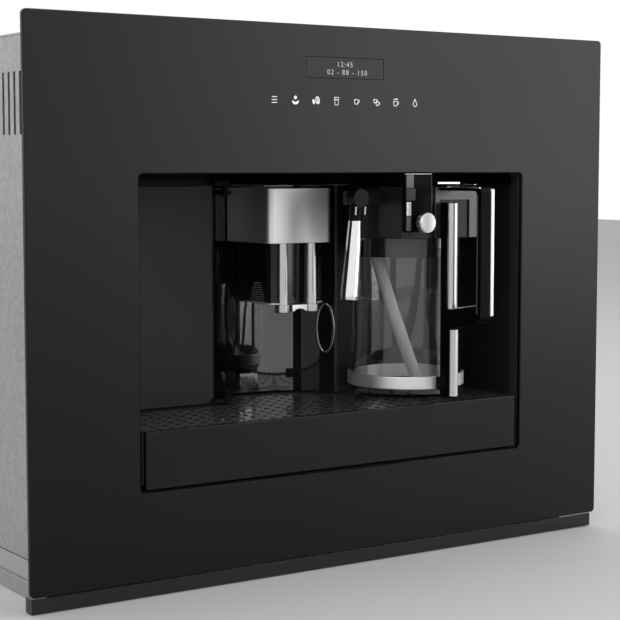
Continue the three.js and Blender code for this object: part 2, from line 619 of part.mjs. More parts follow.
// Steel band round the upper end of the spout.
const bandOuter = [
  [BAND.half, BAND.back],
  ...arc(BAND.half - BAND.corner, BAND.front + BAND.corner, BAND.corner, 90, 180, 4),
];
const bandInner = [
  [BAND.half - BAND.thick, BAND.back],
  ...arc(BAND.half - BAND.corner, BAND.front + BAND.corner, BAND.corner - BAND.thick, 90, 180, 4),
];
const bandOutline = polygon([
  ...bandOuter,
  ...mirrored(bandOuter).reverse(),
  ...mirrored(bandInner),
  ...bandInner.slice().reverse(),
]);
piece('spout_band', prismZ(bandOutline, BAND.bottom, BAND.top), STEEL);

// Guide channel behind the band: open to the front and below, closed on top, with a post down the door.
const coreHalf = BAND.half - BAND.thick - GAP;
const guideBack = RECESS.y + Math.sqrt(RECESS.r ** 2 - coreHalf ** 2) - GAP;
const coreTop = BAND.top - 1;
const core = cut(
  union(
    box(-coreHalf, coreHalf, BAND.front + BAND.corner, guideBack, BAND.bottom + 2.7, coreTop),
    box(-12, 12, -65, guideBack, 240, BAND.bottom + 4),
    box(-coreHalf + 4, coreHalf - 4, BAND.front + BAND.thick + GAP, BAND.front + 10, coreTop - 3, coreTop),
  ),
  box(-CARRIAGE.half - 0.6, CARRIAGE.half + 0.6, -FAR, CARRIAGE.back + 0.6, 200, coreTop - 3),
);
piece('spout_core', core, BLACK_GLOSS);

// Height-adjustable carriage: rounded front corners, a slot for the tubes, grip ribs on both sides.
const carriagePlan = new THREE.Shape();
const cr = CARRIAGE.corner;
carriagePlan.moveTo(-CARRIAGE.half, CARRIAGE.back);
carriagePlan.lineTo(-CARRIAGE.half, CARRIAGE.front + cr);
carriagePlan.absarc(-CARRIAGE.half + cr, CARRIAGE.front + cr, cr, 180 * RAD, 270 * RAD);
carriagePlan.lineTo(CARRIAGE.half - cr, CARRIAGE.front);
carriagePlan.absarc(CARRIAGE.half - cr, CARRIAGE.front + cr, cr, 270 * RAD, 360 * RAD);
carriagePlan.lineTo(CARRIAGE.half, CARRIAGE.back);
carriagePlan.closePath();
const slot = TUBE.x + TUBE.r + 0.6;
let carriage = prismZ(carriagePlan, CARRIAGE.bottom, CARRIAGE.top, 5);
carriage = cut(
  carriage,
  box(-slot, slot, -FAR, TUBE.y + TUBE.r + 0.5, CARRIAGE.bottom - 5, CARRIAGE.top + 5),
  box(
    -CARRIAGE.half + 3,
    CARRIAGE.half - 3,
    TUBE.y + TUBE.r + 8,
    CARRIAGE.back - 3,
    CARRIAGE.bottom - 5,
    CARRIAGE.top - 3,
  ),
);
// Finger grip on both sides: level ribs that together fill an arch.
const ribMiddle = (RIBS.front + RIBS.back) / 2;
for (let i = 0; i < RIBS.count; i += 1) {
  const z = RIBS.bottom + i * RIBS.pitch;
  const reach = ((RIBS.back - RIBS.front) / 2) * Math.sqrt(1 - ((z - CARRIAGE.bottom) / RIBS.rise) ** 2);
  for (const side of [-1, 1]) {
    const x = [side * (CARRIAGE.half - 0.5), side * (CARRIAGE.half + RIBS.proud)].sort((l, h) => l - h);
    carriage = carriage.add(box(x[0], x[1], ribMiddle - reach, ribMiddle + reach, z, z + RIBS.pitch / 2));
  }
}
piece('spout_carriage', carriage, BLACK_GLOSS);

const footTop = CARRIAGE.bottom - GAP;
const tubeProfile = [
  [TUBE.bore, TUBE.bottom],
  [TUBE.foot - 0.6, TUBE.bottom],
  [TUBE.foot, TUBE.bottom + 0.8],
  [TUBE.foot, footTop],
  [TUBE.r, footTop],
  [TUBE.neck, TUBE.top],
  [0, TUBE.top],
  [0, TUBE.bottom + 15],
  [TUBE.bore, TUBE.bottom + 15],
  [TUBE.bore, TUBE.bottom],
];
piece('spout_tube_left', turned(tubeProfile, -TUBE.x, TUBE.y, 20), CHROME);
piece('spout_tube_right', turned(tubeProfile, TUBE.x, TUBE.y, 20), CHROME);
const bridgeHalf = TUBE.x - TUBE.foot - GAP;
const bridge = cut(
  box(-bridgeHalf, bridgeHalf, TUBE.y - 6, TUBE.y + 8.5, TUBE.bottom + 1, footTop),
  rodY(0, TUBE.bottom - 6, TUBE.y - 9, TUBE.y + 12, 9.4, 32),
);
piece('spout_bridge', bridge, CHROME);

// ---- Drip tray ------------------------------------------------------------------------------------------------
// Outline shared by the grate, its pocket and the ledge under it: a front field with a lobe into the recess.
function grateOutline(offset) {
  const r = GRATE.lobe + offset;
  const half = GRATE.half + offset;
  const back = GRATE.back + offset;
  const angle = Math.acos((back - RECESS.y) / r) / RAD;
  return polygon([
    [-half, GRATE.front - offset],
    [half, GRATE.front - offset],
    [half, back],
    ...arc(0, RECESS.y, r, angle, -angle, 16),
    [-half, back],
  ]);
}

const FLOAT = { x: 160, y: -150, r: 9, bore: 2.8, post: 2.4, travel: 6 };
const panOuter = union(
  box(-TRAY.half, TRAY.half, TRAY.front, -96, TRAY.bottom, TRAY.top),
  box(-TRAY.rearHalf, TRAY.rearHalf, -100, TRAY.back, TRAY.bottom, TRAY.top),
);
const w = TRAY.wall;
const bowlTop = 129.5;
const panSolid = cut(
  panOuter,
  prismZ(grateOutline(0.5), GRATE.bottom - GAP, TRAY.top + 2),
  prismZ(grateOutline(-4), bowlTop - 1, TRAY.top),
  box(-TRAY.half + w, TRAY.half - w, TRAY.front + w, -96 - w, TRAY.bottom + w, bowlTop),
  box(-TRAY.rearHalf + w, TRAY.rearHalf - w, -110, GROUNDS.front - 1 - w, TRAY.bottom + w, bowlTop),
  box(-GROUNDS.half - 1, GROUNDS.half + 1, GROUNDS.front - 1, GROUNDS.back + 1, GROUNDS.bottom - GAP, 140),
);
const pan = union(
  panSolid,
  rodZ(FLOAT.x, FLOAT.y, TRAY.bottom + 1, 118, FLOAT.post, 16),
  box(-170, -150, TRAY.front + 6, -100, BAY.floor + GAP, TRAY.bottom + 1),
  box(150, 170, TRAY.front + 6, -100, BAY.floor + GAP, TRAY.bottom + 1),
  box(-140, -120, -100, 30, BAY.floor + GAP, TRAY.bottom + 1),
  box(120, 140, -100, 30, BAY.floor + GAP, TRAY.bottom + 1),
);
piece('drip_tray', pan, BLACK_MATT);

const barShape = rectangle(-BAR.half, BAR.half, BAR.bottom, BAR.top, 1);
piece('tray_front', bevelledPanel(barShape, BAR.front, BAR.back, 0.6), BLACK_GLOSS);

// Perforated grate: staggered rows of long holes, wherever a whole hole fits the outline.
const HOLE = { pitchX: 22, pitchY: 18, rx: 5.4, ry: 4.4, margin: 9 };
function insideGrate(x, y) {
  const m = HOLE.margin;
  const field = Math.abs(x) < GRATE.half - m && y > GRATE.front + m && y < GRATE.back - m;
  const lobe = Math.hypot(x, y - RECESS.y) < GRATE.lobe - m;
  const overFloat = Math.hypot(x - FLOAT.x, y - FLOAT.y) < 13;
  return (field || lobe) && !overFloat;
}
const grateShape = grateOutline(0);
for (let row = 0; row * HOLE.pitchY < 140; row += 1) {
  const y = GRATE.front + 14 + row * HOLE.pitchY;
  for (let column = -9; column <= 9; column += 1) {
    const x = (column + (row % 2) * 0.5) * HOLE.pitchX;
    if (insideGrate(x, y)) {
      const hole = new THREE.Path();
      for (let i = 0; i < 6; i += 1) {
        const angle = i * 60 * RAD;
        const point = [x + HOLE.rx * Math.cos(angle), y + HOLE.ry * Math.sin(angle)];
        if (i === 0) hole.moveTo(...point);
        else hole.lineTo(...point);
      }
      hole.closePath();
      grateShape.holes.push(hole);
    }
  }
}
let grate = prismZ(grateShape, GRATE.bottom, GRATE.top);
grate = grate.subtract(rodZ(FLOAT.x, FLOAT.y, 120, 140, 5, 16));
piece('cup_grate', grate, BLACK_MATT);

const groundsBin = union(
  cut(
    box(-GROUNDS.half, GROUNDS.half, GROUNDS.front, GROUNDS.back, GROUNDS.bottom, GROUNDS.top),
    box(
      -GROUNDS.half + GROUNDS.wall,
      GROUNDS.half - GROUNDS.wall,
      GROUNDS.front + GROUNDS.wall,
      GROUNDS.back - GROUNDS.wall,
      GROUNDS.bottom + GROUNDS.wall,
      GROUNDS.top + 1,
    ),
  ),
  box(-18, 18, GROUNDS.back - GROUNDS.wall - 10, GROUNDS.back - 1, GROUNDS.top - 3, GROUNDS.top),
);
piece('grounds_container', groundsBin, BLACK_MATT);

// Float that shows a full tray: its stem comes up through the hole in the grate.
const floatBottom = TRAY.bottom + w + GAP;
const floatProfile = [
  [FLOAT.bore, floatBottom],
  [FLOAT.r, floatBottom],
  [FLOAT.r, floatBottom + 14],
  [FLOAT.r - 2, floatBottom + 16],
  [4, floatBottom + 16],
  [4, 133],
  [3, 134],
  [0, 134],
  [0, 127],
  [FLOAT.bore, 127],
  [FLOAT.bore, floatBottom],
];
piece('level_float', turned(floatProfile, FLOAT.x, FLOAT.y, 20), RED_PLASTIC);

// ---- Milk jug -----------------------------------------------------------------------------------------------------
const g = JUG.wall;
const glassProfile = [
  [0, JUG.bottom + 1.2],
  [JUG.base - 6, JUG.bottom + 1.2],
  [JUG.base - 4, JUG.bottom],
  [JUG.base, JUG.bottom],
  [JUG.r - 1.5, JUG.bottom + 3.5],
  [JUG.r, JUG.bottom + 8],
  [JUG.r, 166],
  [JUG.r - 1.4, 200],
  [JUG.r - 1.2, 235],
  [JUG.r, 262],
  [JUG.r + 0.4, JUG.seam - GAP],
  [JUG.r + 0.4 - g, JUG.seam - GAP],
  [JUG.r - g, 262],
  [JUG.r - 1.2 - g, 235],
  [JUG.r - 1.4 - g, 200],
  [JUG.r - g, 166],
  [JUG.r - g, JUG.bottom + 8],
  [JUG.base - 2, JUG.bottom + 4],
  [0, JUG.bottom + 4],
];
piece('jug_glass', turned(glassProfile, JUG.x, JUG.y, 32), CLEAR);

const ringProfile = [
  [JUG.r + GAP, RING.bottom],
  [RING.r - 0.5, RING.bottom],
  [RING.r, RING.bottom + 0.5],
  [RING.r, RING.top - 0.5],
  [RING.r - 0.5, RING.top],
  [JUG.r + GAP, RING.top],
  [JUG.r + GAP, RING.bottom],
];
piece('jug_ring', turned(ringProfile, JUG.x, JUG.y, 32), STEEL);

const lidInner = 43.5;
const lidCavityTop = 324;
const lidProfile = [
  [lidInner, LID.plugBottom],
  [LID.plug, LID.plugBottom],
  [LID.plug, JUG.seam],
  [LID.r - 0.8, JUG.seam],
  [LID.r, JUG.seam + 0.8],
  [LID.r, LID.top - 4],
  [LID.r - 1.2, LID.top - 1.2],
  [LID.r - 4, LID.top],
  [0, LID.top],
  [0, lidCavityTop],
  [lidInner, lidCavityTop],
  [lidInner, LID.plugBottom],
];
// The lid with its front housing and the arm and pin that carry the milk spout.
const lid = cut(
  union(
    turned(lidProfile, JUG.x, JUG.y, 32),
    cut(
      box(TOWER.left, FASCIA.right + 1, LID.faceY, JUG.y - 20, FASCIA.bottom, FASCIA.top),
      rodZ(JUG.x, JUG.y, 280, lidCavityTop, lidInner + 4, 36),
    ),
    box(MILK.x - 6, 62, MILK.back + 0.5, MILK.back + 7, MILK.z - 6, MILK.z + 6),
    rodY(MILK.x, MILK.z, MILK.front, MILK.back + 1, MILK.pin, 16),
  ),
  rodY(NOZZLE.x, NOZZLE.z, NOZZLE.front - 3, -80, NOZZLE.r + 0.5),
);
piece('jug_lid', lid, BLACK_GLOSS);

// Light plate on the lid, open below where the handle's post stands.
const fasciaShape = rectangle(FASCIA.left, FASCIA.right, FASCIA.bottom, FASCIA.top, 1.5);
const fascia = cut(
  prismY(fasciaShape, FASCIA.front, FASCIA.front + FASCIA.thick, 3),
  box(HANDLE.left, FASCIA.right - 8.8, FASCIA.front - 1, LID.faceY + 1, FASCIA.bottom - 1, FASCIA.field),
);
piece('lid_fascia', fascia, STEEL);

const hoodBottom = LID.top + GAP;
const towerOutline = polygon([
  [TOWER.front, TOWER.bottom],
  [LID.faceY - GAP, TOWER.bottom],
  [LID.faceY - GAP, hoodBottom],
  [TOWER.back, hoodBottom],
  [TOWER.back, TOWER.top - 2],
  [TOWER.back - 2, TOWER.top],
  [TOWER.front + 1.5, TOWER.top],
  [TOWER.front, TOWER.top - 1.5],
]);
piece('frother_tower', prismX(towerOutline, TOWER.left, TOWER.right), BLACK_GLOSS);

const knobFace = extruded(fluted(KNOB.r, 0.7, 18), 6, 1).rotateX(Math.PI / 2);
const frothKnob = union(
  solid(knobFace.translate(KNOB.x, KNOB.front + 7, KNOB.z)),
  rodY(KNOB.x, KNOB.z, KNOB.front, KNOB.front + 2, KNOB.r - 1.4),
  rodY(KNOB.x, KNOB.z, KNOB.front + 6, TOWER.front - GAP, 6),
);
piece('froth_knob', frothKnob, CHROME);

const LEVER = { x: 104, y: -190, bottom: LID.top + GAP, top: LID.top + 2.3 };
const leverPlate = union(
  rodZ(LEVER.x, LEVER.y, LEVER.bottom, LEVER.top, 7, 24),
  prismZ(
    polygon([
      [89.2, -215],
      [114, -215],
      [115.5, -213.5],
      [114.5, -208],
      [110, -201],
      [109.5, -190],
      [98.5, -190],
      [98, -201],
      [89.2, -208],
    ]),
    LEVER.bottom,
    LEVER.top,
  ),
);
piece('clean_lever', leverPlate, CHROME);

// Loop handle: a round-fronted post on the ring, a thin strip over the top and in front, a rising strut.
const H = HANDLE;
const ringFace = JUG.y - RING.r - GAP;
const strutFront = { bottom: 213.5, top: 229 };
const strutBack = { bottom: 205.4, top: 223 };
const loopShape = polygon([
  [POST.front + 3, strutBack.bottom],
  [POST.front + 3, strutBack.top],
  [H.barBack, strutFront.top],
  [H.barBack, H.top - H.strip - 3],
  [H.barBack + 3, H.top - H.strip],
  [FASCIA.front - GAP, H.top - H.strip],
  [FASCIA.front - GAP, H.top],
  [H.barFront + 5, H.top],
  [H.barFront + 1.2, H.top - 1.5],
  [H.barFront, H.top - 5],
  [H.barFront, strutFront.bottom + 7],
  [H.barFront + 1.5, strutFront.bottom + 3.5],
  [H.barFront + 5, strutFront.bottom + 2],
  [H.barBack, strutFront.bottom],
]);
const postNose = new THREE.Shape();
postNose.moveTo(H.left, POST.back);
postNose.lineTo(H.left, POST.front + POST.round);
postNose.absarc((H.left + POST.right) / 2, POST.front + POST.round, (POST.right - H.left) / 2, Math.PI, 2 * Math.PI);
postNose.lineTo(POST.right, POST.back);
postNose.closePath();
const handle = union(
  prismZ(postNose, H.bottom, POST.top, 10),
  box(H.left, POST.right, POST.back - 1, ringFace, RING.bottom, RING.top),
  prismX(loopShape, H.left, H.right),
);
piece('jug_handle', handle, BLACK_MATT);

// Suction tube from the lid to the bottom of the jug.
const M = MILK_TUBE;
const suctionTube = tube(
  [
    [M.topX, JUG.y, lidCavityTop - GAP],
    [M.topX, JUG.y, M.bend + 12],
    [M.topX + 2, JUG.y, M.bend],
    [(M.topX + M.footX) / 2 + 1, JUG.y, (M.bend + M.footZ) / 2 - 5],
    [M.footX, JUG.y, M.footZ],
  ],
  M.r,
  12,
  12,
);
piece('milk_tube', suctionTube, CLEAR);

// Swivelling milk spout: a head on the lid's pin and a flared tube that hangs from it.
const spoutTilt = 5.3 * RAD;
const spoutTube = new THREE.LatheGeometry(
  [
    [4.4, -89.5],
    [7.6, -89.5],
    [8.2, -86],
    [MILK.tube, -12],
    [MILK.tube, 0],
    [0, 0],
    [0, -70],
    [4.4, -70],
    [4.4, -89.5],
  ].map(([r, z]) => new THREE.Vector2(r, z)),
  24,
);
spoutTube.rotateX(Math.PI / 2).rotateY(spoutTilt);
spoutTube.translate(MILK.x, (MILK.front + MILK.back) / 2, MILK.z);
const milkSpout = cut(
  union(solid(spoutTube), rodY(MILK.x, MILK.z, MILK.front - 0.5, MILK.back, MILK.head)),
  rodY(MILK.x, MILK.z, MILK.front - 0.2, MILK.back + 5, MILK.bore, 16),
);
piece('milk_spout', milkSpout, CHROME);

// ---- Works behind the niche ----------------------------------------------------------------------------------------
const shelf = CASE.bottom + SHEET + GAP;

// Water tank with a moulded finger grip in its outer face and a fill opening on top.
const T = TANK;
const GRIP = { front: 40, back: 100, bottom: 285, top: 320, depth: 16 };
const FILL = { left: 170, right: 250, front: 20, back: 110 };
const tankGrip = box(T.outer - GRIP.depth, T.outer + 5, GRIP.front, GRIP.back, GRIP.bottom, GRIP.top);
const gripShell = box(
  T.outer - GRIP.depth - T.wall,
  T.outer + 5,
  GRIP.front - T.wall,
  GRIP.back + T.wall,
  GRIP.bottom - T.wall,
  GRIP.top + T.wall,
);
const tankInside = box(
  T.inner + T.wall,
  T.outer - T.wall,
  T.front + T.wall,
  T.back - T.wall,
  T.bottom + T.wall,
  T.top - T.wall,
);
const waterTank = cut(
  union(
    box(T.inner, T.outer, T.front, T.back, T.bottom, T.top),
    box(T.outer - 70.5, T.outer - 14.5, T.front + 8, T.front + 14, T.bottom - T.foot, T.bottom + 1),
    box(T.outer - 70.5, T.outer - 14.5, T.back - 14, T.back - 8, T.bottom - T.foot, T.bottom + 1),
  ),
  tankInside.subtract(gripShell),
  tankGrip,
  box(FILL.left, FILL.right, FILL.front, FILL.back, T.top - 5, T.top + 5),
);
piece('water_tank', waterTank, SMOKE);

const tankLid = union(
  box(FILL.left - 4, FILL.right + 4, FILL.front - 4, FILL.back + 4, T.top + GAP, T.top + 2.8),
  rodX(FILL.back + 4, T.top + 3, FILL.left + 6, FILL.right - 6, 2.2, 12),
  box(FILL.left + 28, FILL.right - 28, FILL.front - 9, FILL.front - 3, T.top + 1, T.top + 2.8),
);
piece('tank_lid', tankLid, BLACK_MATT);

// Bean hopper on the grinder; the funnel floor opens into the grinder's throat.
const HP = HOPPER;
const hopper = cut(
  box(HP.left, HP.right, HP.front, HP.back, HP.bottom, HP.top),
  box(
    HP.left + HP.wall,
    HP.right - HP.wall,
    HP.front + HP.wall,
    HP.back - HP.wall,
    HP.bottom + HP.wall,
    HP.top + 1,
  ),
  rodZ(-20, 70, HP.bottom - 1, HP.bottom + 5, 16, 24),
);
piece('bean_hopper', hopper, SMOKE);
const grinderProfile = [
  [0, BREW.top + GAP],
  [34, BREW.top + GAP],
  [38, 312],
  [38, 352],
  [30, 358],
  [30, 366],
  [44, 372],
  [44, HP.bottom - GAP],
  [20, HP.bottom - GAP],
  [14, 366],
  [0, 366],
];
piece('grinder', turned(grinderProfile, -20, 70, 24), GREY_PLASTIC);

// Upright boiler on the pan, beside the left rail.
const BOILER = { r: 40, clear: 38, y: 92, top: 226 };
const boilerProfile = [
  [0, shelf],
  [BOILER.r - 12, shelf],
  [BOILER.r - 12, shelf + 36],
  [BOILER.r, shelf + 44],
  [BOILER.r, BOILER.top],
  [BOILER.r - 12, BOILER.top + 14],
  [9, BOILER.top + 17],
  [9, BOILER.top + 36],
  [5, BOILER.top + 36],
  [5, BOILER.top + 46],
  [0, BOILER.top + 46],
];
piece('boiler', turned(boilerProfile, -KEEL + BOILER.clear, BOILER.y, 24), STEEL);

const pump = union(
  rodX(125, 52, -70, 10, 20, 24),
  rodX(125, 52, -96, -69, 12, 20),
  rodX(125, 52, 9, 30, 8, 16),
  box(-62, 2, 112, 138, shelf, 40),
);
piece('pump', pump, ZINC);

// Brewing unit: a frame open to the front on two legs, with the piston inside.
const brewX = (BREW.left + BREW.right) / 2;
const PISTON = { r: 28, y: 2, bottom: 204.5, height: 26, travel: 30 };
const infuserFrame = union(
  cut(
    box(BREW.left, BREW.right, BREW.front, BREW.back, BREW.bottom, BREW.top),
    box(BREW.left + BREW.wall, BREW.right - BREW.wall, -FAR, 40, BREW.bottom + 12, BREW.top - 12),
    rodZ(brewX, PISTON.y, BREW.bottom - 2, BREW.bottom + 20, 14, 24),
  ),
  box(BREW.left, BREW.left + 8, BAY.back + GAP, BREW.back, shelf, BREW.bottom + 5),
  box(BREW.right - 8, BREW.right, BAY.back + GAP, BREW.back, shelf, BREW.bottom + 5),
);
piece('infuser_frame', infuserFrame, GREY_PLASTIC);
const pistonProfile = [
  [0, PISTON.bottom],
  [18, PISTON.bottom],
  [18, PISTON.bottom + 8],
  [PISTON.r, PISTON.bottom + 10],
  [PISTON.r, PISTON.bottom + PISTON.height],
  [PISTON.r - 3, PISTON.bottom + PISTON.height + 2],
  [0, PISTON.bottom + PISTON.height + 2],
];
piece('infuser_piston', turned(pistonProfile, brewX, PISTON.y, 28), STEEL);

// Mains inlet with its three flat blades, and the rocker switch above it.
const inletBack = CASE.back + 2;
const inlet = union(
  cut(
    union(
      box(
        INLET.x - INLET.halfWidth,
        INLET.x + INLET.halfWidth,
        168,
        inletBack,
        INLET.z - INLET.halfHeight,
        INLET.z + INLET.halfHeight,
      ),
      box(INLET.x - 22, INLET.x + 22, CASE.back + GAP, inletBack, INLET.z - 12, INLET.z + 12),
    ),
    box(INLET.x - 12, INLET.x + 12, 172, inletBack + 1, INLET.z - 8.5, INLET.z + 8.5),
  ),
  box(INLET.x - 1, INLET.x + 1, 171, 186, INLET.z + 1, INLET.z + 5),
  box(INLET.x - 8, INLET.x - 6, 171, 186, INLET.z - 4, INLET.z),
  box(INLET.x + 6, INLET.x + 8, 171, 186, INLET.z - 4, INLET.z),
);
piece('power_inlet', inlet, BLACK_MATT);

const rockerShape = polygon([
  [181, SWITCH.z - 4],
  [181, SWITCH.z + 4],
  [187, SWITCH.z + 9],
  [192, SWITCH.z + 9],
  [190.6, SWITCH.z],
  [192, SWITCH.z - 9],
  [187, SWITCH.z - 9],
]);
piece('main_switch', prismX(rockerShape, SWITCH.x - SWITCH.halfWidth, SWITCH.x + SWITCH.halfWidth), BLACK_GLOSS);

export default machine;
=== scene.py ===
import math

import bmesh
import bpy
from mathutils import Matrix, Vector


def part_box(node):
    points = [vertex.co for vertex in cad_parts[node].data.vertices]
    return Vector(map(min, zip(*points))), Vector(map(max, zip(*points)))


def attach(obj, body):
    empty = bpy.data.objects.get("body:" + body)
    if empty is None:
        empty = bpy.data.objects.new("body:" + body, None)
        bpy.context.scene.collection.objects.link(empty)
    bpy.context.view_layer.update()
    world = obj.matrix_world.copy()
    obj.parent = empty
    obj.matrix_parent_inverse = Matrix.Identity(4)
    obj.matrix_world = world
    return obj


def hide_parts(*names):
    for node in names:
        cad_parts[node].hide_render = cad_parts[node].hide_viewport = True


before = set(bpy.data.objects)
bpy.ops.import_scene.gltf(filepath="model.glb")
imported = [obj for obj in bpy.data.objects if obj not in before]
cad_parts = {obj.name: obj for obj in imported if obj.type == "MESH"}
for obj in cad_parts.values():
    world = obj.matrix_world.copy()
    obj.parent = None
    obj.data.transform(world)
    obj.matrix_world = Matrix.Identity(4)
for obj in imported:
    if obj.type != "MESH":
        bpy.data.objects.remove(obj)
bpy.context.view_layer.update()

# Camera: the photograph's own place, to the front left of the machine and level with the top of its glass,
# found from the perspective of the front and the niche. A long lens, no shift, no depth of field.
view_yaw = math.radians(33.719)
view_pitch = math.radians(4.952)
focal_pixels = 1645.06
picture_pixels = 620
film_width = 36.0
camera_data = bpy.data.cameras.new("photo_camera")
camera_data.sensor_width = film_width
camera_data.lens = focal_pixels / picture_pixels * film_width
camera_data.clip_end = 50.0
photo_camera = bpy.data.objects.new("photo_camera", camera_data)
bpy.context.scene.collection.objects.link(photo_camera)
photo_camera.location = (-0.81346, -1.3640, 0.34892)
photo_camera.rotation_euler = (math.pi / 2 - view_pitch, 0, -view_yaw)
bpy.context.scene.camera = photo_camera
bpy.context.scene.view_settings.view_transform = "Standard"

# Room: a pale floor that runs out into a white room. What the camera, mirrors and glass see is white; the
# light that falls on the machine itself is a little lower, with a large soft lamp at each side.
room_lighting = 0.42
room_seen = 1.0
room = bpy.data.worlds.new("pale_room")
bpy.context.scene.world = room
room.use_nodes = True
room_nodes = room.node_tree.nodes
room_links = room.node_tree.links
room_light = room_nodes["Background"]
ray = room_nodes.new("ShaderNodeLightPath")
seen = ray.outputs["Is Camera Ray"]
for kind in ("Is Transmission Ray", "Is Glossy Ray"):
    either = room_nodes.new("ShaderNodeMath")
    either.operation = "MAXIMUM"
    room_links.new(seen, either.inputs[0])
    room_links.new(ray.outputs[kind], either.inputs[1])
    seen = either.outputs[0]
room_level = room_nodes.new("ShaderNodeMapRange")
room_level.inputs["To Min"].default_value = room_lighting
room_level.inputs["To Max"].default_value = room_seen
room_links.new(seen, room_level.inputs["Value"])
room_links.new(room_level.outputs["Result"], room_light.inputs["Strength"])
room_light.inputs["Color"].default_value = (1, 1, 1, 1)

floor_drop = 0.0005
bpy.ops.object.select_all(action="DESELECT")
bpy.ops.mesh.primitive_plane_add(size=14, location=(0, 0, -floor_drop))
floor = bpy.context.active_object
floor.name = "pale_floor"
floor_paint = bpy.data.materials.new("pale_floor")
floor_paint.use_nodes = True
floor_shader = floor_paint.node_tree.nodes["Principled BSDF"]
floor_shader.inputs["Base Color"].default_value = (0.8, 0.8, 0.8, 1)
floor_shader.inputs["Roughness"].default_value = 0.7
floor.data.materials.append(floor_paint)

for lamp_name, place, aim, size, power in (
    ("lamp_left", (-2.2, -2.4, 2.2), (0, -0.1, 0.2), 1.8, 30),
    ("lamp_right", (2.3, -2.3, 1.0), (0, -0.1, 0.25), 2.2, 38),
    ("lamp_top", (0.2, 0.6, 2.8), (0, 0, 0.2), 2.0, 16),
):
    lamp_data = bpy.data.lights.new(lamp_name, "AREA")
    lamp_data.size = size
    lamp_data.energy = power
    lamp = bpy.data.objects.new(lamp_name, lamp_data)
    bpy.context.scene.collection.objects.link(lamp)
    lamp.location = place
    lamp.rotation_euler = (Vector(aim) - Vector(place)).to_track_quat("-Z", "Y").to_euler()

# Mounting base, rails and casing: folded zinc-coated sheet, hardly worked, with the faint crystals of the
# coating and a little rolling grain, held by cross-head screws; the telescopic rails are bright steel.


def finish(name, colour, metallic, roughness):
    """A new material with its shader's plain values set."""
    material = bpy.data.materials.new(name)
    material.use_nodes = True
    set_shader(material, {"Base Color": (*colour, 1), "Metallic": metallic, "Roughness": roughness})
    return material


def set_shader(material, values):
    """Sets plain values on the shader's own sockets."""
    for socket, value in values.items():
        material.node_tree.nodes["Principled BSDF"].inputs[socket].default_value = value


def drive(material, source, socket):
    """Drives a socket of the shader by a pattern."""
    shader = material.node_tree.nodes["Principled BSDF"]
    material.node_tree.links.new(source, shader.inputs[socket])


def add_node(material, kind, **values):
    """A new node of the material with its plain values set."""
    node = material.node_tree.nodes.new(kind)
    for socket, value in values.items():
        node.inputs[socket].default_value = value
    return node


def pattern(material, kind, stretch, **values):
    """A texture on the piece's own coordinates, stretched per axis in cycles per metre."""
    links = material.node_tree.links
    place = add_node(material, "ShaderNodeTexCoord")
    mapping = add_node(material, "ShaderNodeMapping", Scale=stretch)
    texture = add_node(material, kind, Scale=1.0, **values)
    links.new(place.outputs["Object"], mapping.inputs["Vector"])
    links.new(mapping.outputs["Vector"], texture.inputs["Vector"])
    return texture


def noise(material, stretch, detail):
    """The level of a soft noise, stretched per axis in cycles per metre."""
    return pattern(material, "ShaderNodeTexNoise", stretch, Detail=detail).outputs["Fac"]


def spread(material, source, low, high):
    """Lets the roughness run between low and high with a pattern."""
    ranged = add_node(material, "ShaderNodeMapRange", **{"To Min": low, "To Max": high})
    material.node_tree.links.new(source, ranged.inputs["Value"])
    drive(material, ranged.outputs["Result"], "Roughness")


def tint(material, source, dark, light):
    """Blends the base colour between two shades by a pattern."""
    ramp = add_node(material, "ShaderNodeValToRGB")
    for element, position, shade_of in zip(ramp.color_ramp.elements, (0.3, 0.7), (dark, light)):
        element.color = (*shade_of, 1)
        element.position = position
    material.node_tree.links.new(source, ramp.inputs["Fac"])
    drive(material, ramp.outputs["Color"], "Base Color")


def relief(material, source, strength, depth):
    """Raises the surface a little by a pattern."""
    bump = add_node(material, "ShaderNodeBump", Strength=strength, Distance=depth)
    material.node_tree.links.new(source, bump.inputs["Height"])
    drive(material, bump.outputs["Normal"], "Normal")


def dress(node, material):
    """Gives a CAD node its finish."""
    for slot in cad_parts[node].material_slots:
        slot.material = material


def choose(piece):
    """Makes a piece the only one selected and the active one."""
    bpy.ops.object.select_all(action="DESELECT")
    piece.select_set(True)
    bpy.context.view_layer.objects.active = piece


def own_copy(name, source):
    """A new object with its own copy of another's mesh."""
    made = bpy.data.objects.new(name, source.data.copy())
    bpy.context.scene.collection.objects.link(made)
    return made


def rest_at_origin(piece):
    """Leaves a shaped piece at the origin, unturned and unscaled, and returns it."""
    choose(piece)
    bpy.ops.object.transform_apply(location=True, rotation=True, scale=True)
    return piece


def ease(piece, width, sharper_than, segments=2):
    """Rounds the edges of a piece that are sharper than an angle in degrees."""
    eased = piece.modifiers.new("eased_edges", "BEVEL")
    eased.width = width
    eased.segments = segments
    eased.limit_method = "ANGLE"
    eased.angle_limit = math.radians(sharper_than)
    choose(piece)
    bpy.ops.object.modifier_apply(modifier=eased.name)


def shade(piece, angle):
    """Smooth curves, sharp corners, and true normals on the broad faces beside an eased edge."""
    choose(piece)
    bpy.ops.object.shade_smooth_by_angle(angle=math.radians(angle))
    fair = piece.modifiers.new("fair_normals", "WEIGHTED_NORMAL")
    fair.weight = 100
    fair.keep_sharp = True
    bpy.ops.object.modifier_apply(modifier=fair.name)


def block(name, low, high, edge=0.0, segments=2):
    """A cube primitive stretched between two corners, with its edges eased."""
    bpy.ops.object.select_all(action="DESELECT")
    middle = [(a + b) / 2 for a, b in zip(low, high)]
    bpy.ops.mesh.primitive_cube_add(size=1, location=middle)
    made = bpy.context.active_object
    made.name = name
    made.scale = [b - a for a, b in zip(low, high)]
    rest_at_origin(made)
    if edge:
        ease(made, edge, 30, segments)
        shade(made, 35)
    return made


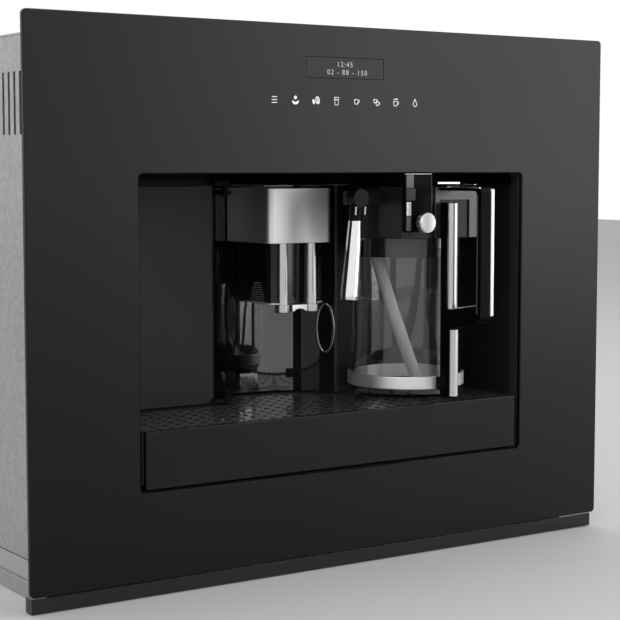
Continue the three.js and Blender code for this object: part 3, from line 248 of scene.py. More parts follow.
def rod(name, place, radius, depth, sides):
    """An upright round rod about a point."""
    bpy.ops.object.select_all(action="DESELECT")
    bpy.ops.mesh.primitive_cylinder_add(vertices=sides, radius=radius, depth=depth, location=place)
    made = bpy.context.active_object
    made.name = name
    return rest_at_origin(made)


def carve(piece, tool, how="DIFFERENCE"):
    """Cuts a tool out of a piece, or joins it on, and removes the tool."""
    step = piece.modifiers.new("carve", "BOOLEAN")
    step.operation = how
    step.object = tool
    step.solver = "EXACT"
    choose(piece)
    bpy.ops.object.modifier_apply(modifier=step.name)
    bpy.data.objects.remove(tool, do_unlink=True)


def settle(piece, body, material):
    """Paints a finished piece and fixes it to its body."""
    piece.data.materials.clear()
    piece.data.materials.append(material)
    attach(piece, body)
    return piece


zinc_sheet = finish("zinc_sheet", (0.42, 0.43, 0.44), 0.85, 0.42)
crystals = pattern(zinc_sheet, "ShaderNodeTexVoronoi", (260, 260, 260))
tint(zinc_sheet, crystals.outputs["Color"], (0.40, 0.41, 0.42), (0.46, 0.47, 0.48))
spread(zinc_sheet, crystals.outputs["Distance"], 0.38, 0.48)
for node in ("base_plate", "chassis_pan", "side_cover_left", "side_cover_right", "rear_cover", "top_cover"):
    dress(node, zinc_sheet)

rail_steel = finish("rail_steel", (0.56, 0.56, 0.55), 1.0, 0.3)
rail_grain = noise(rail_steel, (900, 6, 900), 3.0)
spread(rail_steel, rail_grain, 0.22, 0.4)
relief(rail_steel, rail_grain, 0.08, 0.0004)
for node in ("fixed_rail", "mid_rail", "inner_rail"):
    for side in ("left", "right"):
        dress(f"{node}_{side}", rail_steel)

head_radius = 0.0036
head_height = 0.0014
cross_half = 0.0019
groove_half = 0.0004
groove_floor, groove_top = -0.0001, 0.0017
screw = rod("casing_screw", (0, 0, 0), head_radius, head_height, 28)
for across, along in ((cross_half, groove_half), (groove_half, cross_half)):
    carve(screw, block("cross_recess", (-across, -along, groove_floor), (across, along, groove_top)))
ease(screw, 0.0004, 50)
screw_steel = finish("screw_steel", (0.50, 0.50, 0.49), 1.0, 0.35)
spread(screw_steel, noise(screw_steel, (900, 900, 900), 2.0), 0.28, 0.42)
casing_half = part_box("side_cover_right")[1][0]
casing_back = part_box("rear_cover")[1][1]
casing_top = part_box("rear_cover")[1][2]
screw_depths = (-0.172, 0.0, 0.172)
screw_sides = (-0.266, 0.266)
side_places = [(y, z) for y in screw_depths for z in (0.043, 0.445)]
rear_places = [(x, z) for x in screw_sides for z in (0.045, 0.235, 0.445)] + [(-0.15, 0.445), (0.19, 0.445)]
screw_places = [((casing_half, y, z), (0, math.pi / 2, 0)) for y, z in side_places]
screw_places += [((-casing_half, y, z), (0, -math.pi / 2, 0)) for y, z in side_places]
screw_places += [((x, casing_back, z), (-math.pi / 2, 0, 0)) for x, z in rear_places]
screw_places += [((x, y, casing_top), (0, 0, 0)) for x in screw_sides for y in screw_depths]
for number, (place, turn) in enumerate(screw_places):
    driven = own_copy(f"casing_screw_{number:02d}", screw)
    driven.location = place
    driven.rotation_euler = turn
    settle(rest_at_origin(driven), "machine", screw_steel)
bpy.data.objects.remove(screw, do_unlink=True)

# Glass front: one sheet of black back-printed glass with ground and polished edges, and the black moulded
# frame behind it. The print is flat black; the glass keeps a soft, slightly uneven shine, and a painted
# sheen makes its black lighter towards the top.


def round_off(mesh, middle, radii):
    """Cuts an upright round wall into finer strips and lays their corners on the true radius."""
    first_turn, turn_step, turns = -92, 1.4, 132
    beside_wall, on_wall = 0.002, 0.00015
    for i in range(turns):
        turn = math.radians(first_turn + turn_step * i)
        near = set()
        for face in mesh.faces:
            centre = face.calc_center_median()
            across = math.hypot(centre.x - middle[0], centre.y - middle[1])
            if radii[0] - beside_wall < across < radii[-1] + beside_wall:
                near.add(face)
        edges = {edge for face in near for edge in face.edges}
        corners = {corner for face in near for corner in face.verts}
        bmesh.ops.bisect_plane(mesh, geom=[*near, *edges, *corners], dist=0.000001, plane_co=(*middle, 0),
                               plane_no=(math.cos(turn), -math.sin(turn), 0))
    for corner in mesh.verts:
        across = math.hypot(corner.co.x - middle[0], corner.co.y - middle[1])
        for radius in radii:
            if abs(across - radius) < on_wall:
                corner.co.x = middle[0] + (corner.co.x - middle[0]) * radius / across
                corner.co.y = middle[1] + (corner.co.y - middle[1]) * radius / across


def merged_copy(node, edge, segments=2, rounds=None):
    """A copy of a CAD node with its triangles merged, its sharp edges eased and its curves smooth."""
    made = own_copy(node + "_finished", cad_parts[node])
    mesh = bmesh.new()
    mesh.from_mesh(made.data)
    bmesh.ops.remove_doubles(mesh, verts=mesh.verts, dist=0.000002)
    bmesh.ops.dissolve_limit(mesh, angle_limit=math.radians(1.2), verts=mesh.verts, edges=mesh.edges)
    if rounds:
        round_off(mesh, *rounds)
    mesh.to_mesh(made.data)
    mesh.free()
    if edge:
        ease(made, edge, 38, segments)
    shade(made, 35)
    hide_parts(node)
    return made


def fade(material, axis, low, high, first, last):
    """A level that runs along one axis of the piece, from first at low to last at high."""
    links = material.node_tree.links
    place = add_node(material, "ShaderNodeTexCoord")
    split = add_node(material, "ShaderNodeSeparateXYZ")
    distance = add_node(material, "ShaderNodeMath")
    distance.operation = "ABSOLUTE"
    ranged = add_node(material, "ShaderNodeMapRange",
                      **{"From Min": low, "From Max": high, "To Min": first, "To Max": last})
    links.new(place.outputs["Object"], split.inputs["Vector"])
    links.new(split.outputs[axis], distance.inputs[0])
    links.new(distance.outputs[0], ranged.inputs["Value"])
    return ranged.outputs["Result"]


black_glass_and_sheen = finish("black_glass_and_sheen", (0.010, 0.010, 0.011), 0.0, 0.3)
spread(black_glass_and_sheen, noise(black_glass_and_sheen, (5, 5, 5), 2.0), 0.24, 0.36)
# Painted sheen: the black of the glass is made lighter towards the top.
painted_sheen_level = fade(black_glass_and_sheen, "Z", 0.02, 0.46, 0.0, 1.0)
tint(black_glass_and_sheen, painted_sheen_level, (0.002, 0.002, 0.0022), (0.009, 0.009, 0.0094))
set_shader(black_glass_and_sheen, {"Specular IOR Level": 0.22})
settle(merged_copy("glass_front", 0), "machine", black_glass_and_sheen)

matt_black = finish("matt_black", (0.02, 0.02, 0.021), 0.0, 0.55)
moulded = noise(matt_black, (1400, 1400, 1400), 2.0)
relief(matt_black, moulded, 0.12, 0.0003)
spread(matt_black, moulded, 0.5, 0.62)
settle(merged_copy("front_frame", 0.0004), "machine", matt_black)

gloss_black = finish("gloss_black", (0.006, 0.006, 0.0065), 0.0, 0.06)
spread(gloss_black, noise(gloss_black, (14, 14, 14), 1.0), 0.045, 0.09)
settle(merged_copy("lower_trim", 0.0004), "base", gloss_black)

# Display: a smoked pane let into the glass over a small segment display, which shows plain numbers in two
# rows; the circuit board sits behind it in the frame, green lacquer over copper tracks.
smoked_pane = finish("smoked_pane", (0.015, 0.0155, 0.0155), 0.0, 0.3)
spread(smoked_pane, noise(smoked_pane, (60, 60, 200), 1.0), 0.28, 0.38)
set_shader(smoked_pane, {"Specular IOR Level": 0.22})
settle(merged_copy("display_window", 0.0002), "machine", smoked_pane)

display_digit = finish("display_digit", (0.6, 0.62, 0.61), 0.0, 0.5)
tint(display_digit, noise(display_digit, (3000, 3000, 3000), 0.0), (0.54, 0.56, 0.55), (0.68, 0.7, 0.69))

edge_grey = finish("edge_grey", (0.10, 0.10, 0.10), 0.0, 0.4)
tint(edge_grey, noise(edge_grey, (3000, 3000, 3000), 0.0), (0.085, 0.085, 0.085), (0.12, 0.12, 0.12))


def drawn_lines(name, strokes, radius, roundness=0, caps=True):
    """Round lines along points in metres, made as one curve and turned into a mesh."""
    lines = bpy.data.curves.new(name, "CURVE")
    lines.dimensions = "3D"
    lines.bevel_depth = radius
    lines.bevel_resolution = roundness
    lines.use_fill_caps = caps
    for stroke in strokes:
        spline = lines.splines.new("POLY")
        spline.points.add(len(stroke) - 1)
        for point, place in zip(spline.points, stroke):
            point.co = (*place, 1)
    made = bpy.data.objects.new(name, lines)
    bpy.context.scene.collection.objects.link(made)
    choose(made)
    bpy.ops.object.convert(target="MESH")
    return bpy.context.active_object


digit_front = -0.19984
for row_name, digits, row_x, row_z in (
    ("display_row_upper", "12:45", -0.009, 0.4345),
    ("display_row_lower", "02 - 88 - 150", -0.019, 0.4278),
):
    bpy.ops.object.select_all(action="DESELECT")
    bpy.ops.object.text_add(location=(row_x, digit_front, row_z), rotation=(math.pi / 2, 0, 0))
    row = bpy.context.active_object
    row.name = row_name
    row.data.body = digits
    row.data.size = 0.0062
    row.data.space_character = 1.25
    row.data.extrude = 0.00002
    row.data.resolution_u = 3
    bpy.ops.object.convert(target="MESH")
    settle(rest_at_origin(row), "machine", display_digit)

pane_low, pane_high = [Vector(corner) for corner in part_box("display_window")]
edge_shift = 0.0016
edge_heights = (pane_low.z + 0.001, pane_high.z - 0.001)
for edge_name, pane_side in (("display_edge_left", pane_low.x), ("display_edge_right", pane_high.x)):
    edge_line = [(pane_side - edge_shift, pane_low.y, z) for z in edge_heights]
    settle(drawn_lines(edge_name, [edge_line], 0.00016, caps=False), "machine", edge_grey)

board_green = finish("board_green", (0.02, 0.10, 0.045), 0.0, 0.35)
tracks = pattern(board_green, "ShaderNodeTexBrick", (60, 60, 160))
tracks.inputs["Color1"].default_value = (0, 0, 0, 1)
tracks.inputs["Color2"].default_value = (0.25, 0.25, 0.25, 1)
tracks.inputs["Mortar"].default_value = (1, 1, 1, 1)
tracks.inputs["Mortar Size"].default_value = 0.03
tint(board_green, tracks.outputs["Color"], (0.015, 0.085, 0.035), (0.16, 0.26, 0.09))
dress("control_board", board_green)

# Touch keys: eight small marks printed in light grey on the glass under the display. They have no travel.
# Their print is given a weak glow, which is painted light.
key_print_and_glow = finish("key_print_and_glow", (0.85, 0.85, 0.85), 0.0, 0.45)
# Painted light: a weak glow on the printed marks.
set_shader(key_print_and_glow, {"Emission Color": (1, 1, 1, 1), "Emission Strength": 0.25})
tint(key_print_and_glow, noise(key_print_and_glow, (4000, 4000, 4000), 1.0), (0.8, 0.8, 0.8), (0.9, 0.9, 0.9))
key_pitch = 0.021
keys_middle = 0.0012
key_height = 0.4053
print_front = -0.2


def oval(across, up, half_across, half_up, start=0, end=360, turn=0):
    """Points of an oval or of a part of it, in millimetres."""
    points = []
    steps = 16
    tip = math.radians(turn)
    for i in range(steps + 1):
        angle = math.radians(start + (end - start) * i / steps)
        u, v = half_across * math.cos(angle), half_up * math.sin(angle)
        points.append((across + u * math.cos(tip) - v * math.sin(tip),
                       up + u * math.sin(tip) + v * math.cos(tip)))
    return points


def cup(across, up, scale):
    """A cup with its ear, about a middle, in millimetres."""
    body = [(-2.2, 1.8), (-1.7, -1.6), (-1.1, -2.2), (1.1, -2.2), (1.7, -1.6), (2.2, 1.8), (-2.2, 1.8)]
    ear = [(2.1, 1.2), (3.4, 1.0), (3.1, -0.6), (1.8, -0.8)]
    return [[(across + u * scale, up + v * scale) for u, v in stroke] for stroke in (body, ear)]


def printed_mark(name, strokes, column):
    """Strokes in millimetres about the key's middle, laid on the glass as thin raised print."""
    middle = keys_middle + column * key_pitch
    laid = [[(middle + u / 1000, print_front, key_height + v / 1000) for u, v in stroke]
            for stroke in strokes]
    settle(drawn_lines(name, laid, 0.0004), "machine", key_print_and_glow)


menu_lines = [[(-2.6, v), (2.6, v)] for v in (2.4, 0, -2.4)]
twin_beans = [oval(-2.6, -0.9, 1.0, 1.8, turn=15), oval(-2.6, -0.9, 0.4, 1.1, turn=15),
              oval(1.4, 0.3, 1.9, 3.0, turn=10), oval(1.0, 0.2, 1.3, 2.3, turn=10),
              [(0.6, -2.2), (1.4, 0.2), (2.0, 2.6)]]
tall_glass = [[(-2.2, 3.2), (-1.6, -3.2), (1.6, -3.2), (2.2, 3.2), (-2.2, 3.2)], [(-2.0, 1.2), (2.0, 1.2)]]
froth = [oval(-1.1, 2.4, 1.1, 0.9, 0, 180), oval(1.1, 2.4, 1.1, 0.9, 0, 180)]
drop = [[(0, 3.6), (-1.1, 1.4), (-2.0, -0.6), (-1.7, -2.1), (0, -3.0), (1.7, -2.1), (2.0, -0.6), (1.1, 1.4),
         (0, 3.6)]]
user = [oval(0, 2.2, 1.2, 1.2), oval(0, 2.2, 0.5, 0.5), oval(0, -0.5, 3.1, 2.8, 180, 360),
        oval(0, -0.5, 2.6, 2.1, 180, 360), oval(0, -0.5, 2.2, 1.4, 180, 360)]
for mark_name, column, strokes in (
    ("mark_menu", -3.5, menu_lines),
    ("mark_user", -2.5, user),
    ("mark_beans", -1.5, twin_beans),
    ("mark_tall_glass", -0.5, tall_glass),
    ("mark_cup", 0.5, cup(-0.4, 0, 0.95)),
    ("mark_two_cups", 1.5, cup(-1.3, 1.0, 0.75) + cup(1.1, -1.2, 0.75)),
    ("mark_froth_cup", 2.5, cup(-0.4, -0.6, 1.0) + froth),
    ("mark_drop", 3.5, drop),
):
    printed_mark(mark_name, strokes, column)

# Niche: black lacquered mouldings. The flat walls have a softer shine than the round recess, which is closed
# by the service door; at the door's edge a black strip runs up under the header as painted shade in the
# joint.
niche_black = finish("niche_black", (0.009, 0.009, 0.0095), 0.0, 0.2)
drive(niche_black, fade(niche_black, "X", 0.064, 0.07, 0.05, 0.55), "Roughness")
set_shader(niche_black, {"Specular IOR Level": 0.3})
tint(niche_black, noise(niche_black, (18, 18, 18), 1.0), (0.008, 0.008, 0.0085), (0.011, 0.011, 0.0115))
# This near-black finish also serves as painted shade in the grate's holes and behind the door's edge.
header_black_and_shade = finish("header_black_and_shade", (0.004, 0.004, 0.004), 0.0, 0.5)
spread(header_black_and_shade, noise(header_black_and_shade, (40, 40, 40), 2.0), 0.44, 0.56)
set_shader(header_black_and_shade, {"Specular IOR Level": 0.08})
settle(merged_copy("niche_ceiling", 0), "machine", header_black_and_shade)
recess_gloss = finish("recess_gloss", (0.004, 0.004, 0.0045), 0.0, 0.04)
set_shader(recess_gloss, {"IOR": 2.1})
spread(recess_gloss, noise(recess_gloss, (9, 9, 9), 1.0), 0.03, 0.06)
recess_middle = Vector((0, -0.125))
recess_inner = 0.0755
recess_wall = (recess_middle, (recess_inner, recess_inner + 0.003))
lug_side = 0.03
lug_low, lug_high = 0.1495, 0.1585
tray_line = 0.136
door = settle(merged_copy("service_door", 0.0005, rounds=recess_wall), "door", recess_gloss)
door.data.materials.append(header_black_and_shade)
for face in door.data.polygons:
    across = (face.center.xy - recess_middle).length
    at_lug = face.center.x > lug_side and lug_low < face.center.z < lug_high
    if across < recess_inner - 0.0006 or at_lug:
        face.material_index = 1
for node in ("liner_left", "liner_right"):
    liner = settle(merged_copy(node, 0.0004, rounds=recess_wall), "machine", niche_black)
    liner.data.materials.append(header_black_and_shade)
    for face in liner.data.polygons:
        across = (face.center.xy - recess_middle).length
        if across < recess_inner - 0.001 and face.center.z > tray_line:
            face.material_index = 1
# Painted shade: a black strip set behind the door's edge darkens the gap there.
gap_shade_turn = math.radians(-33)
gap_shade_radius = recess_inner + 0.0040
gap_shade_place = (-gap_shade_radius * math.sin(gap_shade_turn),
              recess_middle.y + gap_shade_radius * math.cos(gap_shade_turn), 0.235)
bpy.ops.object.select_all(action="DESELECT")
bpy.ops.mesh.primitive_cube_add(size=1, location=gap_shade_place, rotation=(0, 0, gap_shade_turn))
gap_shade = bpy.context.active_object
gap_shade.name = "gap_shade_strip"
gap_shade.scale = (0.011, 0.0008, 0.194)
rest_at_origin(gap_shade)
ease(gap_shade, 0.0003, 30)
settle(gap_shade, "machine", header_black_and_shade)
dress("tray_bay", matt_black)
dress("steam_nozzle", matt_black)

# Release button: a black glossy oval in a chromed rim on the right flank of the recess.
chrome = finish("chrome", (0.80, 0.80, 0.80), 1.0, 0.09)
spread(chrome, noise(chrome, (30, 30, 30), 1.0), 0.07, 0.13)
settle(merged_copy("door_button_bezel", 0.0003), "machine", chrome)
settle(merged_copy("door_button", 0.0008, 3), "door_button", gloss_black)

# Coffee spout: a satin steel band over a black channel; below it the height-adjustable black carriage, with
# ribbed finger grips, a chromed lip under its front corners, two chromed tubes and the bridge between them.
satin_steel = finish("satin_steel", (0.70, 0.695, 0.68), 1.0, 0.46)
brushing = noise(satin_steel, (25, 25, 1600), 3.0)
spread(satin_steel, brushing, 0.42, 0.52)
relief(satin_steel, brushing, 0.04, 0.0002)
settle(merged_copy("spout_band", 0.0004), "door", satin_steel)
settle(merged_copy("spout_core", 0.0004), "door", gloss_black)
settle(merged_copy("spout_carriage", 0.0003), "carriage", gloss_black)
satin_facing = finish("satin_facing", (0.56, 0.56, 0.555), 1.0, 0.24)
spread(satin_facing, noise(satin_facing, (1200, 1200, 12), 2.0), 0.2, 0.28)
for node in ("spout_tube_left", "spout_tube_right", "spout_bridge"):
    settle(merged_copy(node, 0.0003), "carriage", satin_facing)


def wire(name, points, radius, body, material):
    """A smooth round rod along points in metres, fixed to its body."""
    made = drawn_lines(name, [points], radius, 3)
    shade(made, 50)
    settle(made, body, material)


lip_satin = finish("lip_satin", (0.6, 0.6, 0.59), 0.55, 0.35)
spread(lip_satin, noise(lip_satin, (400, 400, 400), 2.0), 0.3, 0.42)
carriage_low = Vector(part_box("spout_carriage")[0])
carriage_half = 0.0295
carriage_front = -0.126
lip_corner = 0.009
lip_radius = 0.0009
lip_height = carriage_low.z + lip_radius
lip_steps = 8
for side, lip_name in ((-1, "carriage_lip_left"), (1, "carriage_lip_right")):
    lip = [(side * carriage_half, -0.086, lip_height)]
    for i in range(lip_steps + 1):
        angle = math.radians(90 * i / lip_steps)
        lip.append((side * (carriage_half - lip_corner + lip_corner * math.cos(angle)),
                    carriage_front + lip_corner - lip_corner * math.sin(angle), lip_height))
    wire(lip_name, lip, lip_radius, "carriage", lip_satin)

rib_grey = finish("rib_grey", (0.22, 0.22, 0.225), 0.0, 0.35)
tint(rib_grey, noise(rib_grey, (1500, 1500, 1500), 1.0), (0.19, 0.19, 0.195), (0.25, 0.25, 0.255))
rib_pitch = 0.0021
rib_rise = 0.021
rib_reach = 0.011
rib_middle = -0.106
for side, ribs_name in ((-1, "grip_ribs_left"), (1, "grip_ribs_right")):
    ribs = []
    for i in range(9):
        up = 0.002 + i * rib_pitch
        reach = rib_reach * math.sqrt(1 - (up / rib_rise) ** 2)
        ribs.append([(side * (carriage_half + 0.0013), y, carriage_low.z + up + rib_pitch / 4)
                     for y in (rib_middle - reach, rib_middle + reach)])
    settle(drawn_lines(ribs_name, ribs, 0.0004, 1), "carriage", rib_grey)

# Drip tray: a moulded pan with a glossy front bar, and a glossy black grate punched with a square field of
# round holes; the grate's top is painted a lighter grey as painted sheen and its hole walls near-black as
# painted shade. The red float of the level gauge stands in its own larger hole.
settle(merged_copy("drip_tray", 0.0006), "tray", matt_black)
tray_gloss = finish("tray_gloss", (0.005, 0.005, 0.0055), 0.0, 0.26)
spread(tray_gloss, noise(tray_gloss, (30, 30, 30), 2.0), 0.22, 0.32)
set_shader(tray_gloss, {"Specular IOR Level": 0.2})
settle(merged_copy("tray_front", 0.001), "tray", tray_gloss)

grate_low, grate_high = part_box("cup_grate")
grate_middle = (grate_low[2] + grate_high[2]) / 2
lobe_y = -0.125
lobe_radius = grate_high[1] - lobe_y
field_back = -0.099
grate = block("grate_plate", grate_low, (grate_high[0], field_back, grate_high[2]))
lobe = rod("grate_lobe", (0, lobe_y, grate_middle), lobe_radius, grate_high[2] - grate_low[2], 96)
carve(grate, lobe, "UNION")
hole_pitch = 0.01225
hole_radius = 0.0027
hole_margin = 0.006
float_hole = (0.160, -0.150)
punch_length = 0.008
punch = rod("grate_punch", (0, 0, grate_middle), hole_radius, punch_length, 12)
punches = []
for row in range(12):
    hole_y = grate_low[1] + 0.009 + row * hole_pitch
    for column in range(-16, 16):
        hole_x = (column + 0.75) * hole_pitch
        in_field = abs(hole_x) < grate_high[0] - hole_margin and hole_y < field_back - hole_margin
        in_lobe = math.hypot(hole_x, hole_y - lobe_y) < lobe_radius - hole_margin
        by_float = math.hypot(hole_x - float_hole[0], hole_y - float_hole[1]) < 0.010
        if (in_field or in_lobe) and not by_float:
            tool = own_copy("grate_punch_copy", punch)
            tool.location = (hole_x, hole_y, 0)
            punches.append(tool)
punches.append(rod("float_punch", (*float_hole, grate_middle), 0.005, punch_length, 32))
bpy.ops.object.select_all(action="DESELECT")
for tool in punches:
    tool.select_set(True)
bpy.context.view_layer.objects.active = punches[0]
bpy.ops.object.join()
bpy.ops.object.transform_apply(location=True, rotation=True, scale=True)
carve(grate, bpy.context.active_object)
bpy.data.objects.remove(punch, do_unlink=True)
ease(grate, 0.00015, 50)
shade(grate, 40)
# Painted sheen: the grate's top is a lighter grey than its black plastic.
grate_gloss_and_sheen = finish("grate_gloss_and_sheen", (0.085, 0.085, 0.086), 0.0, 0.14)
spread(grate_gloss_and_sheen, noise(grate_gloss_and_sheen, (45, 45, 45), 3.0), 0.1, 0.18)
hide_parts("cup_grate")
settle(grate, "tray", grate_gloss_and_sheen)
grate.data.materials.append(header_black_and_shade)
# Painted shade: the walls of the holes take the near-black finish; the top and the outer rim keep the
# lighter one.
rim_width = 0.001
for face in grate.data.polygons:
    at_rim = face.center.y < grate_low[1] + rim_width or abs(face.center.x) > grate_high[0] - rim_width
    if abs(face.normal.z) < 0.6 and not at_rim:
        face.material_index = 1

red_float = finish("red_float", (0.42, 0.05, 0.035), 0.0, 0.4)
tint(red_float, noise(red_float, (500, 500, 500), 2.0), (0.38, 0.045, 0.03), (0.46, 0.055, 0.04))
settle(merged_copy("level_float", 0.0003), "level_float", red_float)
settle(merged_copy("grounds_container", 0.0006), "grounds_container", matt_black)

# Milk jug: a blown glass beaker with a steel ring round its foot. The suction tube is milky soft plastic.
jug_clear = finish("jug_glass", (1, 1, 1), 0.0, 0.0)
set_shader(jug_clear, {"Transmission Weight": 1.0, "IOR": 1.46})
blown = noise(jug_clear, (22, 22, 9), 1.0)
spread(jug_clear, blown, 0.0, 0.03)
relief(jug_clear, blown, 0.05, 0.001)
settle(merged_copy("jug_glass", 0), "jug", jug_clear)
settle(merged_copy("jug_ring", 0.0003), "jug", satin_steel)

milk_hose = finish("milk_hose", (0.5, 0.5, 0.5), 0.0, 0.3)
set_shader(milk_hose, {"Transmission Weight": 0.25, "IOR": 1.35})
tint(milk_hose, noise(milk_hose, (90, 90, 30), 2.0), (0.44, 0.44, 0.44), (0.56, 0.56, 0.56))
settle(merged_copy("milk_tube", 0), "jug", milk_hose)

# Lid: a glossy black moulding with a light plate on its front; the black tower for the froth knob stands
# before it, edged with bright strips, and the thumb lever for cleaning lies on top.
lid_black = finish("lid_black", (0.010, 0.010, 0.0105), 0.0, 0.36)
spread(lid_black, noise(lid_black, (200, 200, 200), 2.0), 0.32, 0.42)
set_shader(lid_black, {"Specular IOR Level": 0.25})
settle(merged_copy("jug_lid", 0.0005), "jug", lid_black)
handle_black = finish("handle_black", (0.0018, 0.0018, 0.002), 0.0, 0.3)
spread(handle_black, noise(handle_black, (300, 300, 300), 2.0), 0.26, 0.36)
set_shader(handle_black, {"Specular IOR Level": 0.04})
light_plate = finish("light_plate", (0.10, 0.10, 0.10), 1.0, 0.45)
spread(light_plate, noise(light_plate, (20, 20, 900), 2.0), 0.42, 0.52)
settle(merged_copy("lid_fascia", 0.0003), "jug", light_plate)
settle(merged_copy("frother_tower", 0.0006), "jug", handle_black)
panel_grey = finish("panel_grey", (0.035, 0.035, 0.036), 0.6, 0.45)
spread(panel_grey, noise(panel_grey, (20, 20, 900), 2.0), 0.4, 0.52)
tower_low, tower_high = [Vector(corner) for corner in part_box("frother_tower")]
front = tower_low.y
back = front + 0.001
left = tower_low.x + 0.0015
for strip_name, low, high, strip_finish in (
    ("tower_edge_top", (tower_low.x, front - 0.0003, tower_high.z - 0.0006),
     (tower_high.x, back, tower_high.z - 0.0001), satin_facing),
    ("tower_edge_right", (tower_high.x - 0.0006, front - 0.0003, tower_low.z),
     (tower_high.x - 0.0001, back, tower_high.z), light_plate),
    ("tower_strip_upper", (left, front - 0.0004, 0.3068), (left + 0.005, back, 0.3186), satin_facing),
    ("tower_strip_lower", (left, front - 0.0003, tower_low.z + 0.001), (left + 0.005, back, 0.3062),
     light_plate),
    ("tower_panel", (left, front - 0.0002, 0.331), (left + 0.008, back, tower_high.z - 0.001), light_plate),
    ("tower_panel_lower", (left, front - 0.0001, 0.3200), (left + 0.010, back, 0.3305), panel_grey),
):
    settle(block(strip_name, low, high, 0.0002), "jug", strip_finish)

knob_steel = finish("knob_steel", (0.80, 0.80, 0.80), 1.0, 0.30)
spread(knob_steel, noise(knob_steel, (300, 300, 300), 2.0), 0.26, 0.34)
settle(merged_copy("froth_knob", 0.0004), "froth_knob", knob_steel)
settle(merged_copy("clean_lever", 0.0004), "clean_lever", chrome)

# Handle: a loop moulded in black, with a chromed half-round facing on the post and chromed edging on the
# grip bar and the strut.
handle_low, handle_high = [Vector(corner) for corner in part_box("jug_handle")]
loop = merged_copy("jug_handle", 0.0008)
bar_seat = 0.0004
for corner in loop.data.vertices:
    if corner.co.y < handle_low.y + 0.0005:
        corner.co.y += bar_seat
settle(loop, "jug", handle_black)
for part_name, post_x, post_front, post_radius, foot, head in (
    ("post_facing_lower", 0.1029, -0.2205, 0.0049, 0.1455, 0.205),
    ("post_facing_upper", 0.1024, -0.2185, 0.0054, 0.2236, 0.3175),
):
    facing = rod(part_name, (post_x, post_front, (foot + head) / 2), post_radius, head - foot, 40)
    carve(facing, block("facing_cut", (post_x - 0.02, post_front + 0.0001, foot - 0.01),
                        (post_x + 0.02, post_front + 0.02, head + 0.01)))
    ease(facing, 0.0006, 50)
    shade(facing, 35)
    settle(facing, "jug", satin_facing)
bar_edge = block("bar_edging", (handle_high.x - 0.0048, handle_low.y, 0.2195),
                 (handle_high.x - 0.0006, handle_low.y + 0.0022, 0.3305), 0.0010, 3)
settle(bar_edge, "jug", satin_facing)
near_side = handle_low.x
loop_top = handle_high.z - 0.0006
bar_back = -0.2606
for line_name, start, end, line_radius, line_finish in (
    ("bar_inner_line", (bar_back, 0.222), (bar_back, 0.325), 0.0005, light_plate),
    ("loop_top_line", (-0.2635, loop_top), (-0.2095, loop_top), 0.0005, chrome),
    ("strut_line", (-0.2225, 0.2233), (-0.2600, 0.2291), 0.0006, chrome),
):
    wire(line_name, [(near_side, *start), (near_side, *end)], line_radius, "jug", line_finish)

# Milk spout: a chromed flared sleeve that hangs from a black swivel head on the lid's pin.
spout_finish = finish("spout_sleeve", (0.80, 0.80, 0.80), 1.0, 0.1)
set_shader(spout_finish, {"Specular IOR Level": 0.05})
spread(spout_finish, noise(spout_finish, (60, 60, 20), 1.0), 0.07, 0.16)
sleeve_top = 0.3020
above = fade(spout_finish, "Z", sleeve_top, sleeve_top + 0.0003, 0.0, 1.0)
tint(spout_finish, above, (0.8, 0.8, 0.8), (0.008, 0.008, 0.008))
drive(spout_finish, fade(spout_finish, "Z", sleeve_top, sleeve_top + 0.0003, 1.0, 0.0), "Metallic")
settle(merged_copy("milk_spout", 0.0004), "milk_spout", spout_finish)
pin_y = -0.1862
for pin_name, pin_x in (("spout_pin_left", 0.0205), ("spout_pin_right", 0.0305)):
    pin = [(pin_x, pin_y, 0.3075), (pin_x + 0.0006, pin_y, 0.3145)]
    wire(pin_name, pin, 0.0009, "milk_spout", satin_facing)

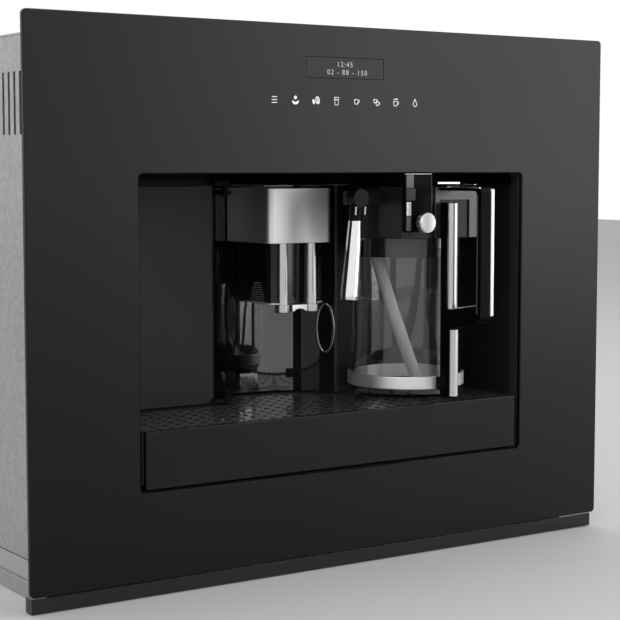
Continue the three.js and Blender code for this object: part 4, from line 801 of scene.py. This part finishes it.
# Works: tank and hopper of smoked clear plastic, the grinder and the brewing unit of grey plastic, a steel
# boiler and piston, a zinc-cast pump, and small black mouldings. They show with the machine slid out.
smoke_plastic = finish("smoke_plastic", (0.42, 0.44, 0.45), 0.0, 0.1)
set_shader(smoke_plastic, {"Transmission Weight": 0.85, "IOR": 1.49})
smoke_flow = noise(smoke_plastic, (20, 20, 20), 2.0)
spread(smoke_plastic, smoke_flow, 0.05, 0.16)
tint(smoke_plastic, smoke_flow, (0.38, 0.40, 0.41), (0.46, 0.48, 0.49))
settle(merged_copy("water_tank", 0.0008), "water_tank", smoke_plastic)
settle(merged_copy("bean_hopper", 0.0006), "machine", smoke_plastic)
settle(merged_copy("hopper_lid", 0.0004), "hopper_lid", smoke_plastic)
settle(merged_copy("tank_lid", 0.0004), "tank_lid", matt_black)
settle(merged_copy("powder_flap", 0.0004), "powder_flap", matt_black)
settle(merged_copy("grind_knob", 0.0004), "grind_knob", matt_black)

grey_plastic = finish("grey_plastic", (0.16, 0.165, 0.17), 0.0, 0.5)
grey_grain = noise(grey_plastic, (900, 900, 900), 2.0)
tint(grey_plastic, grey_grain, (0.145, 0.15, 0.155), (0.175, 0.18, 0.185))
relief(grey_plastic, grey_grain, 0.15, 0.0003)
settle(merged_copy("grinder", 0.0008), "machine", grey_plastic)
settle(merged_copy("infuser_frame", 0.0008), "machine", grey_plastic)

boiler_steel = finish("boiler_steel", (0.55, 0.54, 0.52), 1.0, 0.3)
drawn_rings = noise(boiler_steel, (12, 12, 700), 3.0)
spread(boiler_steel, drawn_rings, 0.22, 0.42)
tint(boiler_steel, drawn_rings, (0.5, 0.49, 0.47), (0.6, 0.59, 0.57))
settle(merged_copy("boiler", 0.001), "machine", boiler_steel)
settle(merged_copy("infuser_piston", 0.0005), "infuser_piston", boiler_steel)

cast_zinc = finish("cast_zinc", (0.38, 0.38, 0.37), 0.8, 0.5)
cast_skin = noise(cast_zinc, (350, 350, 350), 4.0)
relief(cast_zinc, cast_skin, 0.25, 0.0006)
spread(cast_zinc, cast_skin, 0.42, 0.6)
settle(merged_copy("pump", 0.0008), "machine", cast_zinc)
settle(merged_copy("power_inlet", 0.0005), "machine", matt_black)
settle(merged_copy("main_switch", 0.0006), "main_switch", gloss_black)
